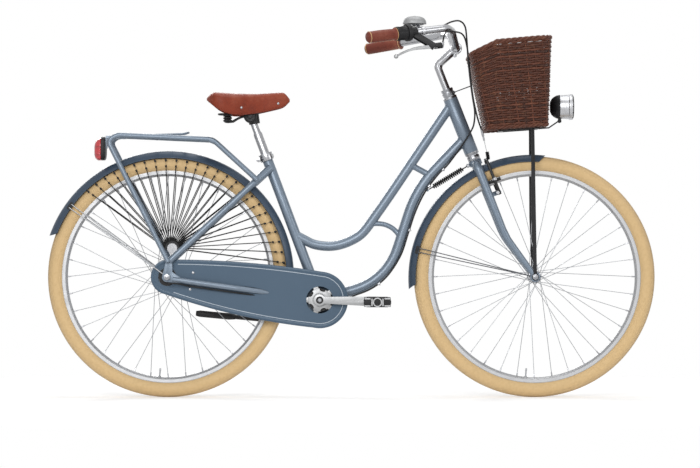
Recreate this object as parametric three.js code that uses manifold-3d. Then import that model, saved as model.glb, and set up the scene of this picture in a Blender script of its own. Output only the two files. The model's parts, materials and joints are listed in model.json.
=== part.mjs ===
// Dutch city bike: a step-through frame with two curved tubes, full chain case, laced wheels, cord skirt
// guard, sprung steering damper and a wicker basket.
// Millimetres. +X forward, +Y to the rider's left, +Z up. The origin lies on the ground under the middle
// of the wheelbase.
import * as THREE from 'three';
import { mergeVertices } from 'three/addons/utils/BufferGeometryUtils.js';
import Module from 'manifold-3d';

const wasm = await Module();
wasm.setup();

// Clearances
const gap = 0.3;
const weld = 0.1;
const overrun = 6;

// Wheels, 47-622
const rimOuterRadius = 320;
const rimDepth = 21;
const tyreRise = 38;
const tyreWidth = 47;
const rimInnerRadius = rimOuterRadius - rimDepth;
const tyreOuterRadius = rimOuterRadius + tyreRise;
const rimWidth = 29;
const rimWall = 2.2;
const rimChannelDepth = 9;
const rimBaseWidth = 14;
const spokeCount = 36;
const spokeCrossings = 3;
const spokeRadius = 1;
const wheelFacets = 32;
const hubFacets = 12;
const boreFacets = 8;
const plateCurveSteps = 5;
const frontFlangeRadius = 20;
const frontFlangeSpan = 60;
const frontHubCoreRadius = 11;
const frontHubEndSpan = 90;
const frontHubShoulder = 2;
const rearFlangeRadius = 44;
const rearFlangeSpan = 54;
const rearHubCoreRadius = 36;
const rearHubEndSpan = 112;
const rearHubDriverRadius = 19;
const flangeThickness = 3.2;
const flangeHoleInset = 4;
const spokeCant = 2;
const axleRadius = 4.8;
const rearAxleStub = 15;
const rearNutHeight = 12;
const rearNutRadius = 10;
const frontAxleStub = 12;
const frontNutHeight = 9;
const frontNutRadius = 9;

// Frame: angles from horizontal, lengths along the tubes
const rearCentreClearance = 93;
const frontCentreClearance = 280;
const bottomBracketReach = tyreOuterRadius + rearCentreClearance;
const frontCentre = tyreOuterRadius + frontCentreClearance;
const wheelbase = bottomBracketReach + frontCentre;
const bottomBracketDrop = 68;
const bottomBracketRadius = 20;
const bottomBracketWidth = 68;
const bottomBracketBore = 14.5;
const seatTubeAngle = 69.4;
const seatTubeLength = 464;
const seatTubeRadius = 15.4;
const seatPostRadius = 13.4;
const headAngle = 68.5;
const forkRake = 38.5;
const forkOverTyre = 30;
const forkLength = tyreOuterRadius + forkOverTyre;
const headTubeLength = 170;
const headTubeRadius = 21;
const headTubeBore = 17;
const lowerHeadsetHeight = 25;
const upperHeadsetHeight = 32;
const headsetRadius = 19;
const steererRadius = 12.7;
const upperTubeRadius = 14.3;
const upperTubeHeadDrop = 13.4;
const upperTubeLowShare = 0.1254;
const upperTubeLowHeight = 110;
const upperTubeBend = 165;
const upperTubeSeatHeight = 205;
const lowerTubeRadius = 15.5;
const lowerTubeHeadDrop = 123;
const lowerTubeShoulderShare = 0.4514;
const lowerTubeShoulderHeight = 329;
const lowerTubeShoulderBend = 330;
const lowerTubeHeelShare = 0.3135;
const lowerTubeHeelHeight = 56;
const lowerTubeHeelBend = 247;
const upperBraceRadius = 9;
const upperBraceShares = [0.4, 0.35];
const middleBraceRadius = 7.5;
const middleBraceShares = [0.665, 0.56];
const middleBraceRise = 26;
const braceFlare = 1.45;

// Stays and dropouts
const dropoutSpan = 134;
const dropoutThickness = 5;
const dropoutRadius = 15;
const dropoutLugHeight = 46;
const dropoutLugForward = 6;
const chainstayRadius = 8.2;
const chainstayStartForward = 40;
const chainstayStartDrop = 10;
const chainstayWaistForward = 205;
const chainstayNeckForward = 372;
const chainstayNeckSpread = 37;
const chainstayEndSpread = 24;
const chainstayWaistInset = 4;
const stayBend = 60;
const seatstayRadius = 9.6;
const seatstayTopRadius = 12;
const seatstayShoulderShare = 0.82;
const seatstayShoulderSpread = 46;
const seatstayTopSpread = 13;
const seatstayTopHeight = 418;

// Rear rack
const rackTubeRadius = 7.4;
const rackBend = 34;
const rackElbowBack = 176;
const rackRise = 46;
const rackElbowHeight = tyreOuterRadius + rackRise;
const rackDeckBack = 148;
const rackDeckRise = 16;
const rackDeckForward = 134;
const rackHalfWidth = 62;
const rackFrontHalfWidth = 56;
const rackFootForward = 4;
const rackFootHeight = 44;
const rackFootSpread = 82;
const rackCrossBarRadius = 4.5;
const rackCrossBarShares = [0.08, 0.4, 0.72, 0.94];
const rackLandingShare = 0.86;
const clipHingeShare = 0.4;
const clipWireRadius = 2.2;
const clipHalfWidth = 36;
const clipReach = 96;
const clipLift = 9;
const clipTipRise = 7;
const clipBend = 12;
const clipBarrelLength = 10;

// Tail light
const tailLightWidth = 84;
const tailLightHeight = 52;
const tailHousingDepth = 17;
const tailLensDepth = 15;
const tailLightCorner = 14;
const tailLightDrop = 24;
const tailLightStandoff = 2;
const tailLightChamfer = 5;
const tailLightEdge = 4;
const tailLensInsets = [1, 3, 9];
const tailPlateThickness = 3;

// Mudguards
const rearMudguardRise = 16;
const rearMudguardRadius = tyreOuterRadius + rearMudguardRise;
const rearMudguardFrom = -8;
const rearMudguardTo = 161;
const frontMudguardRise = 10;
const frontMudguardRadius = tyreOuterRadius + frontMudguardRise;
const frontMudguardBack = 7;
const frontMudguardSink = 5;
const frontMudguardFrom = 83;
const frontMudguardTo = 185;
const mudguardHalfWidth = 28;
const mudguardSkirt = 20;
const mudguardThickness = 1.4;
const mudguardFacets = 32;
const mudguardCrownSteps = 4;
const fullTurn = 360;
const mudguardWireRadius = 2;
const rearStayAngle = 144;
const frontStayAngle = 166;
const stayWireSpread = 12;
const stayClipDepth = 9;
const stayEyeWall = 6;
const stayEyeInset = 2;

// Skirt guard
const skirtCordCount = 25;
const skirtCordRadius = 1.1;
const skirtBracketForward = 14;
const skirtBracketHeight = 85;
const skirtBracketRadius = 20;
const skirtBracketThickness = 4;
const skirtBracketSpread = 50;
const skirtFanFrom = 7;
const skirtFanTo = 133;
const skirtRootFrom = -8;
const skirtRootTo = 188;
const skirtBeadRadius = 3;

// Chain case, chain and drive
const chainLine = 50;
const chainringTeeth = 33;
const sprocketTeeth = 18;
const chainPitch = 12.7;
const toothHeight = 4.2;
const toothedThickness = 3;
const sprocketBoreInset = 3;
const chainWidth = 8;
const chainHeight = 6.5;
const caseRearRadius = 52;
const caseFrontRadius = 84;
const caseTopBulge = 9;
const caseBottomBulge = 13;
const caseRearForward = 3;
const caseInnerFace = 35;
const caseOuterFace = 59;
const caseWall = 1.8;
const caseFrontOpening = 40;
const caseRearOpening = 27;
const caseSlotClearance = 1.2;
const crankLength = 170;
const crankAngle = -1.5;
const crankThickness = 13;
const crankHubRadius = 17;
const crankEndRadius = 13;
const crankNeckShare = 0.4;
const crankWaistShare = 0.86;
const crankInnerFace = 66;
const spindleRadius = 8.5;
const spiderArms = 5;
const spiderReach = 58;
const spiderRootWidth = 18;
const spiderTipWidth = 12;
const spiderThickness = 5;
const pedalAxleRadius = 4.5;
const pedalInnerFace = 86;
const pedalWidth = 98;
const pedalLength = 80;
const pedalThickness = 29;
const pedalCageWall = 3;
const pedalBarrelRadius = 11;
const pedalBlockLength = 22;
const pedalBlockInset = 9;
const pedalBlockRelief = 1;

// Kickstand, folded along the left side
const standPivotBack = 95;
const standPivotDrop = 20;
const standPivotSpread = 50;
const standLegRadius = 7;
const standKneeBack = 66;
const standKneeDrop = 42;
const standFootLength = 118;
const standFootRadius = 10.5;
const standReach = 276;
const standTipDrop = 22;
const standAxisTilt = 14.7;
const standBarrelRadius = 11;
const standBarrelLength = 20;
const standBracketThickness = 7;

// Seat
const postExposed = 98;
const postInsertion = 130;
const postDropRange = 45;
const collarRadius = 20.5;
const collarHeight = 22;
const collarLug = 14;
const collarLugOut = 4;
const leverNutHeight = 8;
const leverNutBite = 4;
const leverKnobLength = 12;
const leverSweep = 6;
const leverHalfWidth = 6;
const leverCorner = 2;
const leverBoltRadius = 3;
const leverNutRadius = 7;
const leverLength = 46;
const leverThickness = 5;
const saddleLength = 245;
const saddleSetback = 110;
const saddleRearHalfWidth = 105;
const saddleSkirtDepth = 64;
const saddleShell = 5;
const saddleCrown = 27;
const saddleRise = 74;
const saddlePlateBack = 26;
const saddlePlateAhead = 12;
const saddlePlateThickness = 3;
const saddleNoseShare = 0.86;
const saddleNoseDrop = 8;
const saddleBoltHalfLength = 12;
const saddleBoltRadius = 5;
const railRadius = 3.5;
const railHalfSpan = 22;
const railNoseHalfSpan = 10;
const railAhead = 62;
const railBack = 30;
const railBend = 26;
const saddleSpringShare = 0.29;
const saddleSpringRadius = 9;
const saddleSpringWire = 2.2;
const saddleSpringTurns = 2.5;
const saddleSpringHeight = 26;
const springCupDrop = 4;
const springCupRise = 3;
const seatClampRadius = 17;
const seatClampWidth = 40;

// Fork
const forkLegTopRadius = 14;
const forkLegTipRadius = 8.5;
const forkArchDrop = 11;
const forkArchRadius = 10.5;
const forkArchBend = 32;
const forkFullShare = 0.5;
const forkCrownHeight = 17;
const forkTopSpread = 44;
const forkTipSpread = 53;
const forkBendHeight = 146;
const forkBend = 150;
const forkEndRadius = 15;
const forkEndThickness = 6;

// Stem and handlebar
const quillRadius = 11.1;
const quillInsertion = 62;
const stemRise = 76;
const stemReach = 55;
const stemClimb = 50;
const stemNeckRadius = 12.5;
const stemClampRadius = 18.5;
const stemClampWidth = 42;
const stemBend = 24;
const stemBoltBack = 2;
const stemBoltDrop = 3;
const stemBoltRadius = 5;
const barRadius = 11.1;
const barSleeveRadius = 12.7;
const barSleeveWidth = 62;
const barRiserSpan = 42;
const barShoulderBack = 14;
const barShoulderSpan = 100;
const barShoulderRise = 46;
const barCornerBack = 31;
const barCornerSpan = 180;
const barCornerRise = 50;
const barBend = 38;
const barSplay = 28;
const barDroop = 7.5;
const barRun = 264;
const gripRadius = 16.5;
const gripWall = 2.5;
const rightGripLength = 92;
const leftGripLength = 118;
const gripFlangeRadius = 19;
const gripFlangeWidth = 5;

// Twist shifter, brake lever and bell
const shifterRadius = 21;
const shifterLength = 33;
const shifterHousingRadius = 24;
const shifterHousingLength = 20;
const leverClampLength = 14;
const leverClampRadius = 14.6;
const leverPivotAlong = 62;
const leverPivotOut = 34;
const leverPivotDown = 48;
const leverBladeLength = 128;
const leverBladeWidth = 11;
const leverBladeThickness = 6;
const leverBladeEnd = 6.5;
const leverBodyWidth = 24;
const leverCheekWall = 3;
const leverCheekCorner = 3;
const leverSlotBack = 11;
const leverSlotIn = 13;
const leverSlotOut = 40;
const leverNoseLength = 24;
const leverTipSweep = 16;
const leverPinRadius = 2;
const bellAlong = 84;
const bellInboard = 29;
const bellRadius = 32;
const bellHeight = 30;
const bellWall = 1.6;
const bellLift = 19;
const bellStrapWidth = 9;
const bellStrapWall = 2;
const bellPostRadius = 4;
const bellDeckThickness = 3;
const bellLeverLength = 34;
const bellLeverThickness = 3;

// Front brake
const brakePivotInset = 26;
const brakePivotHeight = rimInnerRadius - brakePivotInset;
const brakeBossAhead = 27;
const brakeBossRadius = 7;
const brakeArmLength = 102;
const brakeArmWidth = 14;
const brakeArmThickness = 9;
const brakePadLength = 50;
const brakePadHeight = 10;
const brakePadDepth = 9;
const brakePostRadius = 3.5;
const brakePinRadius = 3.5;
const brakePinEnd = 1;
const brakeArmSpreads = [0, 3, 2, -1];
const brakePadGap = 1.5;

// Basket, its support and the headlight
const basketBack = 198;
const basketTopLength = 246;
const basketBottomBack = 148;
const basketBottomLength = 182;
const basketTopHalfWidth = 195;
const basketBottomHalfWidth = 165;
const basketOverTyre = 74;
const basketBottomHeight = 2 * tyreOuterRadius + basketOverTyre;
const basketHeight = 262;
const basketCorner = 52;
const basketFootCornerShare = 0.6;
const basketWall = 9;
const basketBandCount = 18;
const basketBandDepth = 4;
const basketRimSlope = 5;
const basketDip = 34;
const basketDipLength = 78;
const basketFloorSlope = 4;
const supportBarWidth = 10;
const supportBarThickness = 3;
const supportSpread = 60;
const supportTrayLength = 120;
const supportTrayThickness = 4;
const supportTrayNose = 20;
const supportStrapWidth = 14;
const supportBack = 8;
const supportKneeHeight = 176;
const lightLugRadius = 6;
const lightRadius = 36;
const lightForward = 113;
const lightRise = 73;
const lightHeight = basketBottomHeight + lightRise;
const lightBodyLength = 38;
const lightDomeLength = 28;
const lightBracketWidth = 14;
const lightNeckInset = 2;

// Steering damper
const damperWire = 1.8;
const damperRadius = 6.5;
const damperTurns = 9;
const damperLowShare = 0.285;
const damperHookLength = 13;
const damperLugRadius = 4;
const damperLugReach = 5;

// Cables
const cableRadius = 2.5;
const brakeCableSteps = 22;
const cableSideAngle = 38;
const cableBoxSpread = 80;
const cableBoxLength = 26;
const cableBoxHalfHeight = 7;
const cableBoxHalfWidth = 6;
const cableBoxCorner = 3;
const cableBoxForward = 4;
const cableBoxDrop = 4;
const shiftLoopShares = [0.25, 0.35, 0.6, 0.75];
const shiftLoopOffsets = [[-8.4, 1.2, 51.8], [20.6, 5.3, 71.2], [35.3, -4.4, 78.6], [44.9, -2.3, 58.7]];
const shiftDropPoints = [
  [295.4, 101, -48], [228.1, 80.9, -42], [159.6, 63.6, -38], [105.5, 50.9, -36], [70.7, 32.9, -34],
  [52.8, 12.9, -32],
];
const brakeLoopShares = [0.15, 0.35, 0.55];
const brakeLoopOffsets = [[23.5, -1.9, 40.4], [39.6, -4.7, 41.2], [50.8, -2.5, 31.9]];
const brakeDropPoints = [
  [286.1, 97.3, -76], [218.4, 78.2, -62], [149.6, 61.8, -58], [88.6, 52.9, -60], [37, 47.6, -62],
];
const brakeLeadPoints = [[34, 2, -20], [10, 0, -14]];

// Colours
const frameBlue = { color: 0x7d8fa3, roughness: 0.35, metalness: 0.55 };
const guardBlue = { color: 0x4a5c6f, roughness: 0.3, metalness: 0.4 };
const silver = { color: 0xc9cbce, roughness: 0.25, metalness: 0.95 };
const blackPlastic = { color: 0x1b1b1d, roughness: 0.6, metalness: 0 };
const blackSteel = { color: 0x202124, roughness: 0.45, metalness: 0.6 };
const creamRubber = { color: 0xdbbd89, roughness: 0.8, metalness: 0 };
const brownLeather = { color: 0x7a3b24, roughness: 0.55, metalness: 0 };
const darkWicker = { color: 0x4b2a23, roughness: 0.85, metalness: 0 };
const redLens = { color: 0x9c1420, roughness: 0.2, metalness: 0 };

// Vectors and angles
const radians = (degrees) => THREE.MathUtils.degToRad(degrees);
const vec = (x, y, z) => new THREE.Vector3(x, y, z);
const axisX = vec(1, 0, 0);
const axisY = vec(0, 1, 0);
const axisZ = vec(0, 0, 1);
const along = (from, direction, length) => from.clone().addScaledVector(direction, length);
const between = (a, b, share) => a.clone().lerp(b, share);

// Datum points and directions
const rearAxle = vec(-wheelbase / 2, 0, tyreOuterRadius);
const frontAxle = vec(wheelbase / 2, 0, tyreOuterRadius);
const bottomBracket = vec(rearAxle.x + bottomBracketReach, 0, rearAxle.z - bottomBracketDrop);
const seatUp = vec(-Math.cos(radians(seatTubeAngle)), 0, Math.sin(radians(seatTubeAngle)));
const steerUp = vec(-Math.cos(radians(headAngle)), 0, Math.sin(radians(headAngle)));
const steerAhead = vec(Math.sin(radians(headAngle)), 0, Math.cos(radians(headAngle)));
const steerFoot = along(frontAxle, steerAhead, -forkRake);
const headTubeBase = forkLength + lowerHeadsetHeight;
const headTubeTop = headTubeBase + headTubeLength;
const headsetTop = headTubeTop + upperHeadsetHeight;
const onSteerer = (height, ahead = 0, left = 0) =>
  along(along(along(steerFoot, steerUp, height), steerAhead, ahead), axisY, left);
const onSeatTube = (height) => along(bottomBracket, seatUp, height);
const fromRearAxle = (forward, left, up) => vec(rearAxle.x + forward, left, rearAxle.z + up);

// A route through stations: straight runs take one step, bends several
class Route extends THREE.Curve {
  constructor(stations) {
    super();
    this.stations = stations;
    this.steps = stations.length - 1;
  }

  getPointAt(share, target = new THREE.Vector3()) {
    const place = Math.min(share * this.steps, this.steps);
    const index = Math.min(Math.floor(place + 1e-9), this.steps - 1);
    return target.lerpVectors(this.stations[index], this.stations[index + 1], place - index);
  }

  getPoint(share, target) {
    return this.getPointAt(share, target);
  }

  getTangentAt(share, target = new THREE.Vector3()) {
    const index = Math.round(share * this.steps);
    const before = this.stations[Math.max(index - 1, 0)];
    const here = this.stations[index];
    const after = this.stations[Math.min(index + 1, this.steps)];
    const arriving = here.clone().sub(before).normalize();
    const leaving = after.clone().sub(here).normalize();
    return target.addVectors(arriving, leaving).normalize();
  }

  getTangent(share, target) {
    return this.getTangentAt(share, target);
  }

  // The point at a share of the length
  at(share) {
    const lengths = this.stations.slice(1).map((p, i) => p.distanceTo(this.stations[i]));
    let rest = share * lengths.reduce((sum, length) => sum + length, 0);
    let index = 0;
    while (index < lengths.length - 1 && rest > lengths[index]) {
      rest -= lengths[index];
      index += 1;
    }
    return between(this.stations[index], this.stations[index + 1], rest / lengths[index]);
  }
}

// Rounds each inner corner with an arc, as a tube bender does
function bentRoute(corners, bend, turnStep = 14) {
  const stations = [corners[0]];
  for (let i = 1; i < corners.length - 1; i += 1) {
    const radius = Array.isArray(bend) ? bend[i - 1] : bend;
    const back = corners[i - 1].clone().sub(corners[i]);
    const ahead = corners[i + 1].clone().sub(corners[i]);
    const room = Math.min(back.length(), ahead.length()) * 0.49;
    back.normalize();
    ahead.normalize();
    const turn = Math.PI - back.angleTo(ahead);
    const reach = Math.min(radius * Math.tan(turn / 2), room);
    const usedRadius = reach / Math.tan(turn / 2);
    const middle = back.clone().add(ahead).normalize();
    const centre = along(corners[i], middle, Math.hypot(usedRadius, reach));
    const start = along(corners[i], back, reach).sub(centre);
    const normal = start.clone().cross(along(corners[i], ahead, reach).sub(centre)).normalize();
    const pieces = Math.ceil(THREE.MathUtils.radToDeg(turn) / turnStep);
    for (let k = 0; k <= pieces; k += 1) {
      stations.push(start.clone().applyAxisAngle(normal, (turn * k) / pieces).add(centre));
    }
  }
  stations.push(corners[corners.length - 1]);
  return new Route(stations);
}

// Solids
function solid(geometry) {
  const bare = geometry.clone();
  bare.deleteAttribute('normal');
  bare.deleteAttribute('uv');
  const merged = mergeVertices(bare, 1e-4);
  const positions = merged.attributes.position;
  const corner = (index) => new THREE.Vector3().fromBufferAttribute(positions, index);
  const triangles = [];
  let volume = 0;
  for (let i = 0; i < merged.index.count; i += 3) {
    const [a, b, c] = [0, 1, 2].map((k) => merged.index.getX(i + k));
    if (a !== b && b !== c && c !== a) {
      triangles.push([a, b, c]);
      volume += corner(a).dot(corner(b).cross(corner(c)));
    }
  }
  const ordered = volume < 0 ? triangles.map(([a, b, c]) => [a, c, b]) : triangles;
  return new wasm.Manifold(new wasm.Mesh({
    numProp: 3,
    vertProperties: new Float32Array(positions.array),
    triVerts: new Uint32Array(ordered.flat()),
  }));
}

const joined = (...solids) => solids.flat().reduce((sum, next) => sum.add(next));
const cut = (body, ...tools) => tools.flat().reduce((rest, tool) => rest.subtract(tool), body);

// Section outlines
function ovalOutline(halfWidth, halfHeight, sides) {
  const points = [];
  for (let i = 0; i < sides; i += 1) {
    const turn = (2 * Math.PI * (i + 0.5)) / sides;
    points.push(new THREE.Vector2(halfWidth * Math.cos(turn), halfHeight * Math.sin(turn)));
  }
  return points;
}

function roundedOutline(halfWidth, halfHeight, corner, steps = 3) {
  const points = [];
  const used = Math.min(corner, halfWidth, halfHeight);
  const quarters = [[1, 1], [-1, 1], [-1, -1], [1, -1]];
  quarters.forEach(([sx, sy], quarter) => {
    for (let k = 0; k <= steps; k += 1) {
      const turn = (Math.PI / 2) * (quarter + k / steps);
      const x = sx * (halfWidth - used) + used * Math.cos(turn);
      const y = sy * (halfHeight - used) + used * Math.sin(turn);
      points.push(new THREE.Vector2(x, y));
    }
  });
  return points;
}

const squareOutline = (halfWidth, halfHeight) => [[1, 1], [-1, 1], [-1, -1], [1, -1]]
  .map(([x, y]) => new THREE.Vector2(x * halfWidth, y * halfHeight));

// A tube of even section along a route
function tube(route, radius, sides = 12, flat = 1) {
  const section = new THREE.Shape(ovalOutline(radius, radius * flat, sides));
  const options = { steps: route.steps, extrudePath: route, bevelEnabled: false };
  return solid(new THREE.ExtrudeGeometry(section, options));
}

// Rings of points joined into one closed skin, with flat ends
function loft(rings) {
  const count = rings[0].length;
  const positions = rings.flat().flatMap((p) => [p.x, p.y, p.z]);
  const index = [];
  for (let r = 0; r < rings.length - 1; r += 1) {
    for (let i = 0; i < count; i += 1) {
      const j = (i + 1) % count;
      const [a, b, c, d] = [r * count + i, r * count + j, (r + 1) * count + i, (r + 1) * count + j];
      index.push(a, b, d, a, d, c);
    }
  }
  const last = (rings.length - 1) * count;
  for (let i = 1; i < count - 1; i += 1) {
    index.push(0, i + 1, i, last, last + i, last + i + 1);
  }
  const geometry = new THREE.BufferGeometry();
  geometry.setAttribute('position', new THREE.Float32BufferAttribute(positions, 3));
  geometry.setIndex(index);
  return solid(geometry);
}

// A tube whose radius changes from station to station
function taperedTube(route, radiusAt, sides = 12) {
  const frames = route.computeFrenetFrames(route.steps, false);
  const section = ovalOutline(1, 1, sides);
  const rings = route.stations.map((station, i) => {
    const radius = radiusAt(i / route.steps);
    return section.map((p) =>
      along(along(station, frames.normals[i], p.x * radius), frames.binormals[i], p.y * radius));
  });
  return loft(rings);
}

// A profile turned about an axis: each point is [radius, distance along the axis]
function turned(profile, base, direction, facets = hubFacets) {
  const points = profile.map(([radius, height]) => new THREE.Vector2(radius, height));
  const first = points[0];
  const last = points[points.length - 1];
  if (first.x > 0 || last.x > 0) points.push(first.clone());
  const geometry = new THREE.LatheGeometry(points, facets);
  geometry.applyQuaternion(new THREE.Quaternion().setFromUnitVectors(axisY, direction));
  geometry.translate(base.x, base.y, base.z);
  return solid(geometry);
}

const rod = (from, to, radius, facets = 12) => {
  const direction = to.clone().sub(from);
  const length = direction.length();
  const profile = [[0, 0], [radius, 0], [radius, length], [0, length]];
  return turned(profile, from, direction.normalize(), facets);
};

// The radius of a bore of flat facets that clears a round shaft at every turn
const clearBore = (radius, facets) => (radius + gap) / Math.cos(Math.PI / facets);

// A flat plate: an outline in the side view, thick along Y from one face to the other
function plate(outline, yFrom, yTo) {
  const shape = outline instanceof THREE.Shape ? outline : new THREE.Shape(outline);
  const options = { depth: Math.abs(yTo - yFrom), bevelEnabled: false, curveSegments: plateCurveSteps };
  const geometry = new THREE.ExtrudeGeometry(shape, options);
  geometry.rotateX(Math.PI / 2);
  geometry.translate(0, Math.max(yFrom, yTo), 0);
  return solid(geometry);
}

// A block with its long axis along a direction: section outline in the two other directions
function bar(from, to, side, outline) {
  return strap(new Route([from, to]), side, () => outline);
}

// A bar of changing section along a route, one side of it always square to the same direction
function strap(route, side, outlineAt) {
  const rings = route.stations.map((station, i) => {
    const share = i / route.steps;
    const up = route.getTangentAt(share).cross(side).normalize();
    const across = up.clone().cross(route.getTangentAt(share)).normalize();
    return outlineAt(share).map((p) => along(along(station, across, p.x), up, p.y));
  });
  return loft(rings);
}

function box(low, high) {
  const size = high.clone().sub(low);
  const geometry = new THREE.BoxGeometry(size.x, size.y, size.z);
  geometry.translate((low.x + high.x) / 2, (low.y + high.y) / 2, (low.z + high.z) / 2);
  return solid(geometry);
}

const object = new THREE.Group();
object.name = 'dutch_city_bike';

function add(name, body, finish) {
  const mesh = body.asOriginal().simplify(weld).getMesh();
  const geometry = new THREE.BufferGeometry();
  geometry.setAttribute('position', new THREE.Float32BufferAttribute(mesh.vertProperties, 3));
  geometry.setIndex(Array.from(mesh.triVerts));
  geometry.computeVertexNormals();
  const node = new THREE.Mesh(geometry, new THREE.MeshStandardMaterial(finish));
  node.name = name;
  object.add(node);
}

// Frame tubes. Each tube runs to the middle line of the tube that it meets and is mitred there.
const headTubeSolid = (grow) => rod(
  onSteerer(headTubeBase),
  onSteerer(headTubeTop),
  headTubeRadius + grow,
  16,
);
const seatTubeSolid = (grow) => rod(bottomBracket, onSeatTube(seatTubeLength), seatTubeRadius + grow, 14);
const shellEnd = bottomBracketWidth / 2;
const shellSolid = (grow) => rod(
  along(bottomBracket, axisY, -shellEnd - grow),
  along(bottomBracket, axisY, shellEnd + grow),
  bottomBracketRadius + grow,
  14,
);

const upperTubeRoute = bentRoute(
  [
    onSteerer(headTubeTop - upperTubeHeadDrop),
    vec(bottomBracket.x + frontCentre * upperTubeLowShare, 0, bottomBracket.z + upperTubeLowHeight),
    onSeatTube(upperTubeSeatHeight),
  ],
  upperTubeBend,
  13,
);

const lowerTubeRoute = bentRoute(
  [
    onSteerer(headTubeTop - lowerTubeHeadDrop),
    vec(
      bottomBracket.x + frontCentre * lowerTubeShoulderShare,
      0,
      bottomBracket.z + lowerTubeShoulderHeight,
    ),
    vec(bottomBracket.x + frontCentre * lowerTubeHeelShare, 0, bottomBracket.z + lowerTubeHeelHeight),
    bottomBracket,
  ],
  [lowerTubeShoulderBend, lowerTubeHeelBend],
  11,
);
const lowerTubeSolid = (grow) => tube(lowerTubeRoute, lowerTubeRadius + grow, 10);

function brace(shares, radius, rise) {
  const start = upperTubeRoute.at(shares[0]);
  const end = lowerTubeRoute.at(shares[1]);
  const crest = between(start, end, 0.5);
  crest.z += rise;
  const route = rise > 0 ? bentRoute([start, crest, end], start.distanceTo(end), 14) : new Route([
    start, between(start, end, 0.5), end,
  ]);
  const flared = (share) => radius * (1 + (braceFlare - 1) * Math.abs(2 * share - 1) ** 3);
  return taperedTube(route, flared, 6);
}

function buildFrameTubes() {
  add('head_tube', turned(
    [
      [headTubeBore, 0],
      [headTubeRadius, 0],
      [headTubeRadius, headTubeLength],
      [headTubeBore, headTubeLength],
    ],
    onSteerer(headTubeBase),
    steerUp,
    16,
  ), frameBlue);

  const upper = joined(
    tube(upperTubeRoute, upperTubeRadius, 10),
    cut(brace(upperBraceShares, upperBraceRadius, 0), lowerTubeSolid(gap)),
    cut(brace(middleBraceShares, middleBraceRadius, middleBraceRise), lowerTubeSolid(gap)),
  );
  add('upper_frame_tube', cut(upper, headTubeSolid(gap), seatTubeSolid(gap)), frameBlue);
  const lower = cut(lowerTubeSolid(0), headTubeSolid(gap), shellSolid(gap), seatTubeSolid(gap));
  add('lower_frame_tube', joined(lower, damperLug()), frameBlue);

  const bore = rod(
    onSeatTube(seatTubeLength - postInsertion - postDropRange),
    onSeatTube(seatTubeLength + overrun),
    seatPostRadius + gap,
    16,
  );
  add('seat_tube', cut(seatTubeSolid(0), shellSolid(gap), bore), frameBlue);

  add('bottom_bracket_shell', turned(
    [
      [bottomBracketBore, -shellEnd], [bottomBracketRadius, -shellEnd],
      [bottomBracketRadius, shellEnd], [bottomBracketBore, shellEnd],
    ],
    bottomBracket,
    axisY,
    14,
  ), frameBlue);
}

// Steering damper anchors: a lug under the lower tube and one behind the fork crown
const damperTubePoint = lowerTubeRoute.at(damperLowShare);
const damperTubeNormal = (() => {
  const run = lowerTubeRoute.at(damperLowShare + 0.02).sub(lowerTubeRoute.at(damperLowShare - 0.02));
  return vec(-run.z, 0, run.x).normalize();
})();
const damperLow = along(damperTubePoint, damperTubeNormal, lowerTubeRadius + damperLugReach);
const damperHigh = onSteerer(forkLength - forkCrownHeight / 2, -headsetRadius - damperLugReach);
const damperLug = () => joined(
  rod(
    along(damperLow, axisY, -damperLugRadius),
    along(damperLow, axisY, damperLugRadius),
    damperLugRadius,
    8,
  ),
  rod(damperTubePoint, damperLow, damperLugRadius * 0.8, 8),
);

// Headset cups and nuts, turned on the steering axis
function buildHeadset() {
  const bore = clearBore(steererRadius, hubFacets);
  const lowerTop = lowerHeadsetHeight - 2 * gap;
  add('headset_lower', turned(
    [
      [bore, 0], [headsetRadius * 0.95, 0], [headsetRadius, lowerTop * 0.2], [headsetRadius, lowerTop * 0.5],
      [headsetRadius * 0.86, lowerTop * 0.6], [headTubeRadius, lowerTop * 0.75], [headTubeRadius, lowerTop],
      [bore, lowerTop],
    ],
    onSteerer(forkLength + gap),
    steerUp,
  ), silver);
  const upperTop = upperHeadsetHeight - 2 * gap;
  add('headset_upper', turned(
    [
      [bore, 0],
      [headTubeRadius, 0],
      [headTubeRadius, upperTop * 0.2],
      [headsetRadius * 0.9, upperTop * 0.3],
      [headsetRadius, upperTop * 0.62], [headsetRadius * 0.86, upperTop * 0.7],
      [headsetRadius * 0.95, upperTop * 0.78], [headsetRadius * 0.95, upperTop], [bore, upperTop],
    ],
    onSteerer(headTubeTop + gap),
    steerUp,
  ), silver);
}

// Dropouts and stays, built on the right (side = -1) and the left (side = 1)
const dropoutFace = dropoutSpan / 2;
const dropoutMiddle = dropoutFace + dropoutThickness / 2;
const lugCentre = fromRearAxle(dropoutLugForward, 0, dropoutLugHeight);
const chainstayRoute = (side) => {
  const rise = bottomBracket.z - (rearAxle.z - chainstayStartDrop);
  const slope = rise / (bottomBracketReach - chainstayStartForward);
  const at = (forward, spread) =>
    fromRearAxle(forward, side * spread, -chainstayStartDrop + slope * (forward - chainstayStartForward));
  return bentRoute(
    [
      at(chainstayStartForward * 0.4, dropoutMiddle),
      at(chainstayStartForward, dropoutMiddle),
      at(chainstayWaistForward, dropoutMiddle - chainstayWaistInset),
      at(chainstayNeckForward, chainstayNeckSpread),
      at(bottomBracketReach, chainstayEndSpread),
    ],
    stayBend,
    20,
  );
};
const chainstaySolid = (side, grow) => tube(chainstayRoute(side), chainstayRadius + grow, 8);
const axleHole = rod(
  fromRearAxle(0, -dropoutSpan, 0),
  fromRearAxle(0, dropoutSpan, 0),
  axleRadius + gap,
  boreFacets,
);

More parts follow.
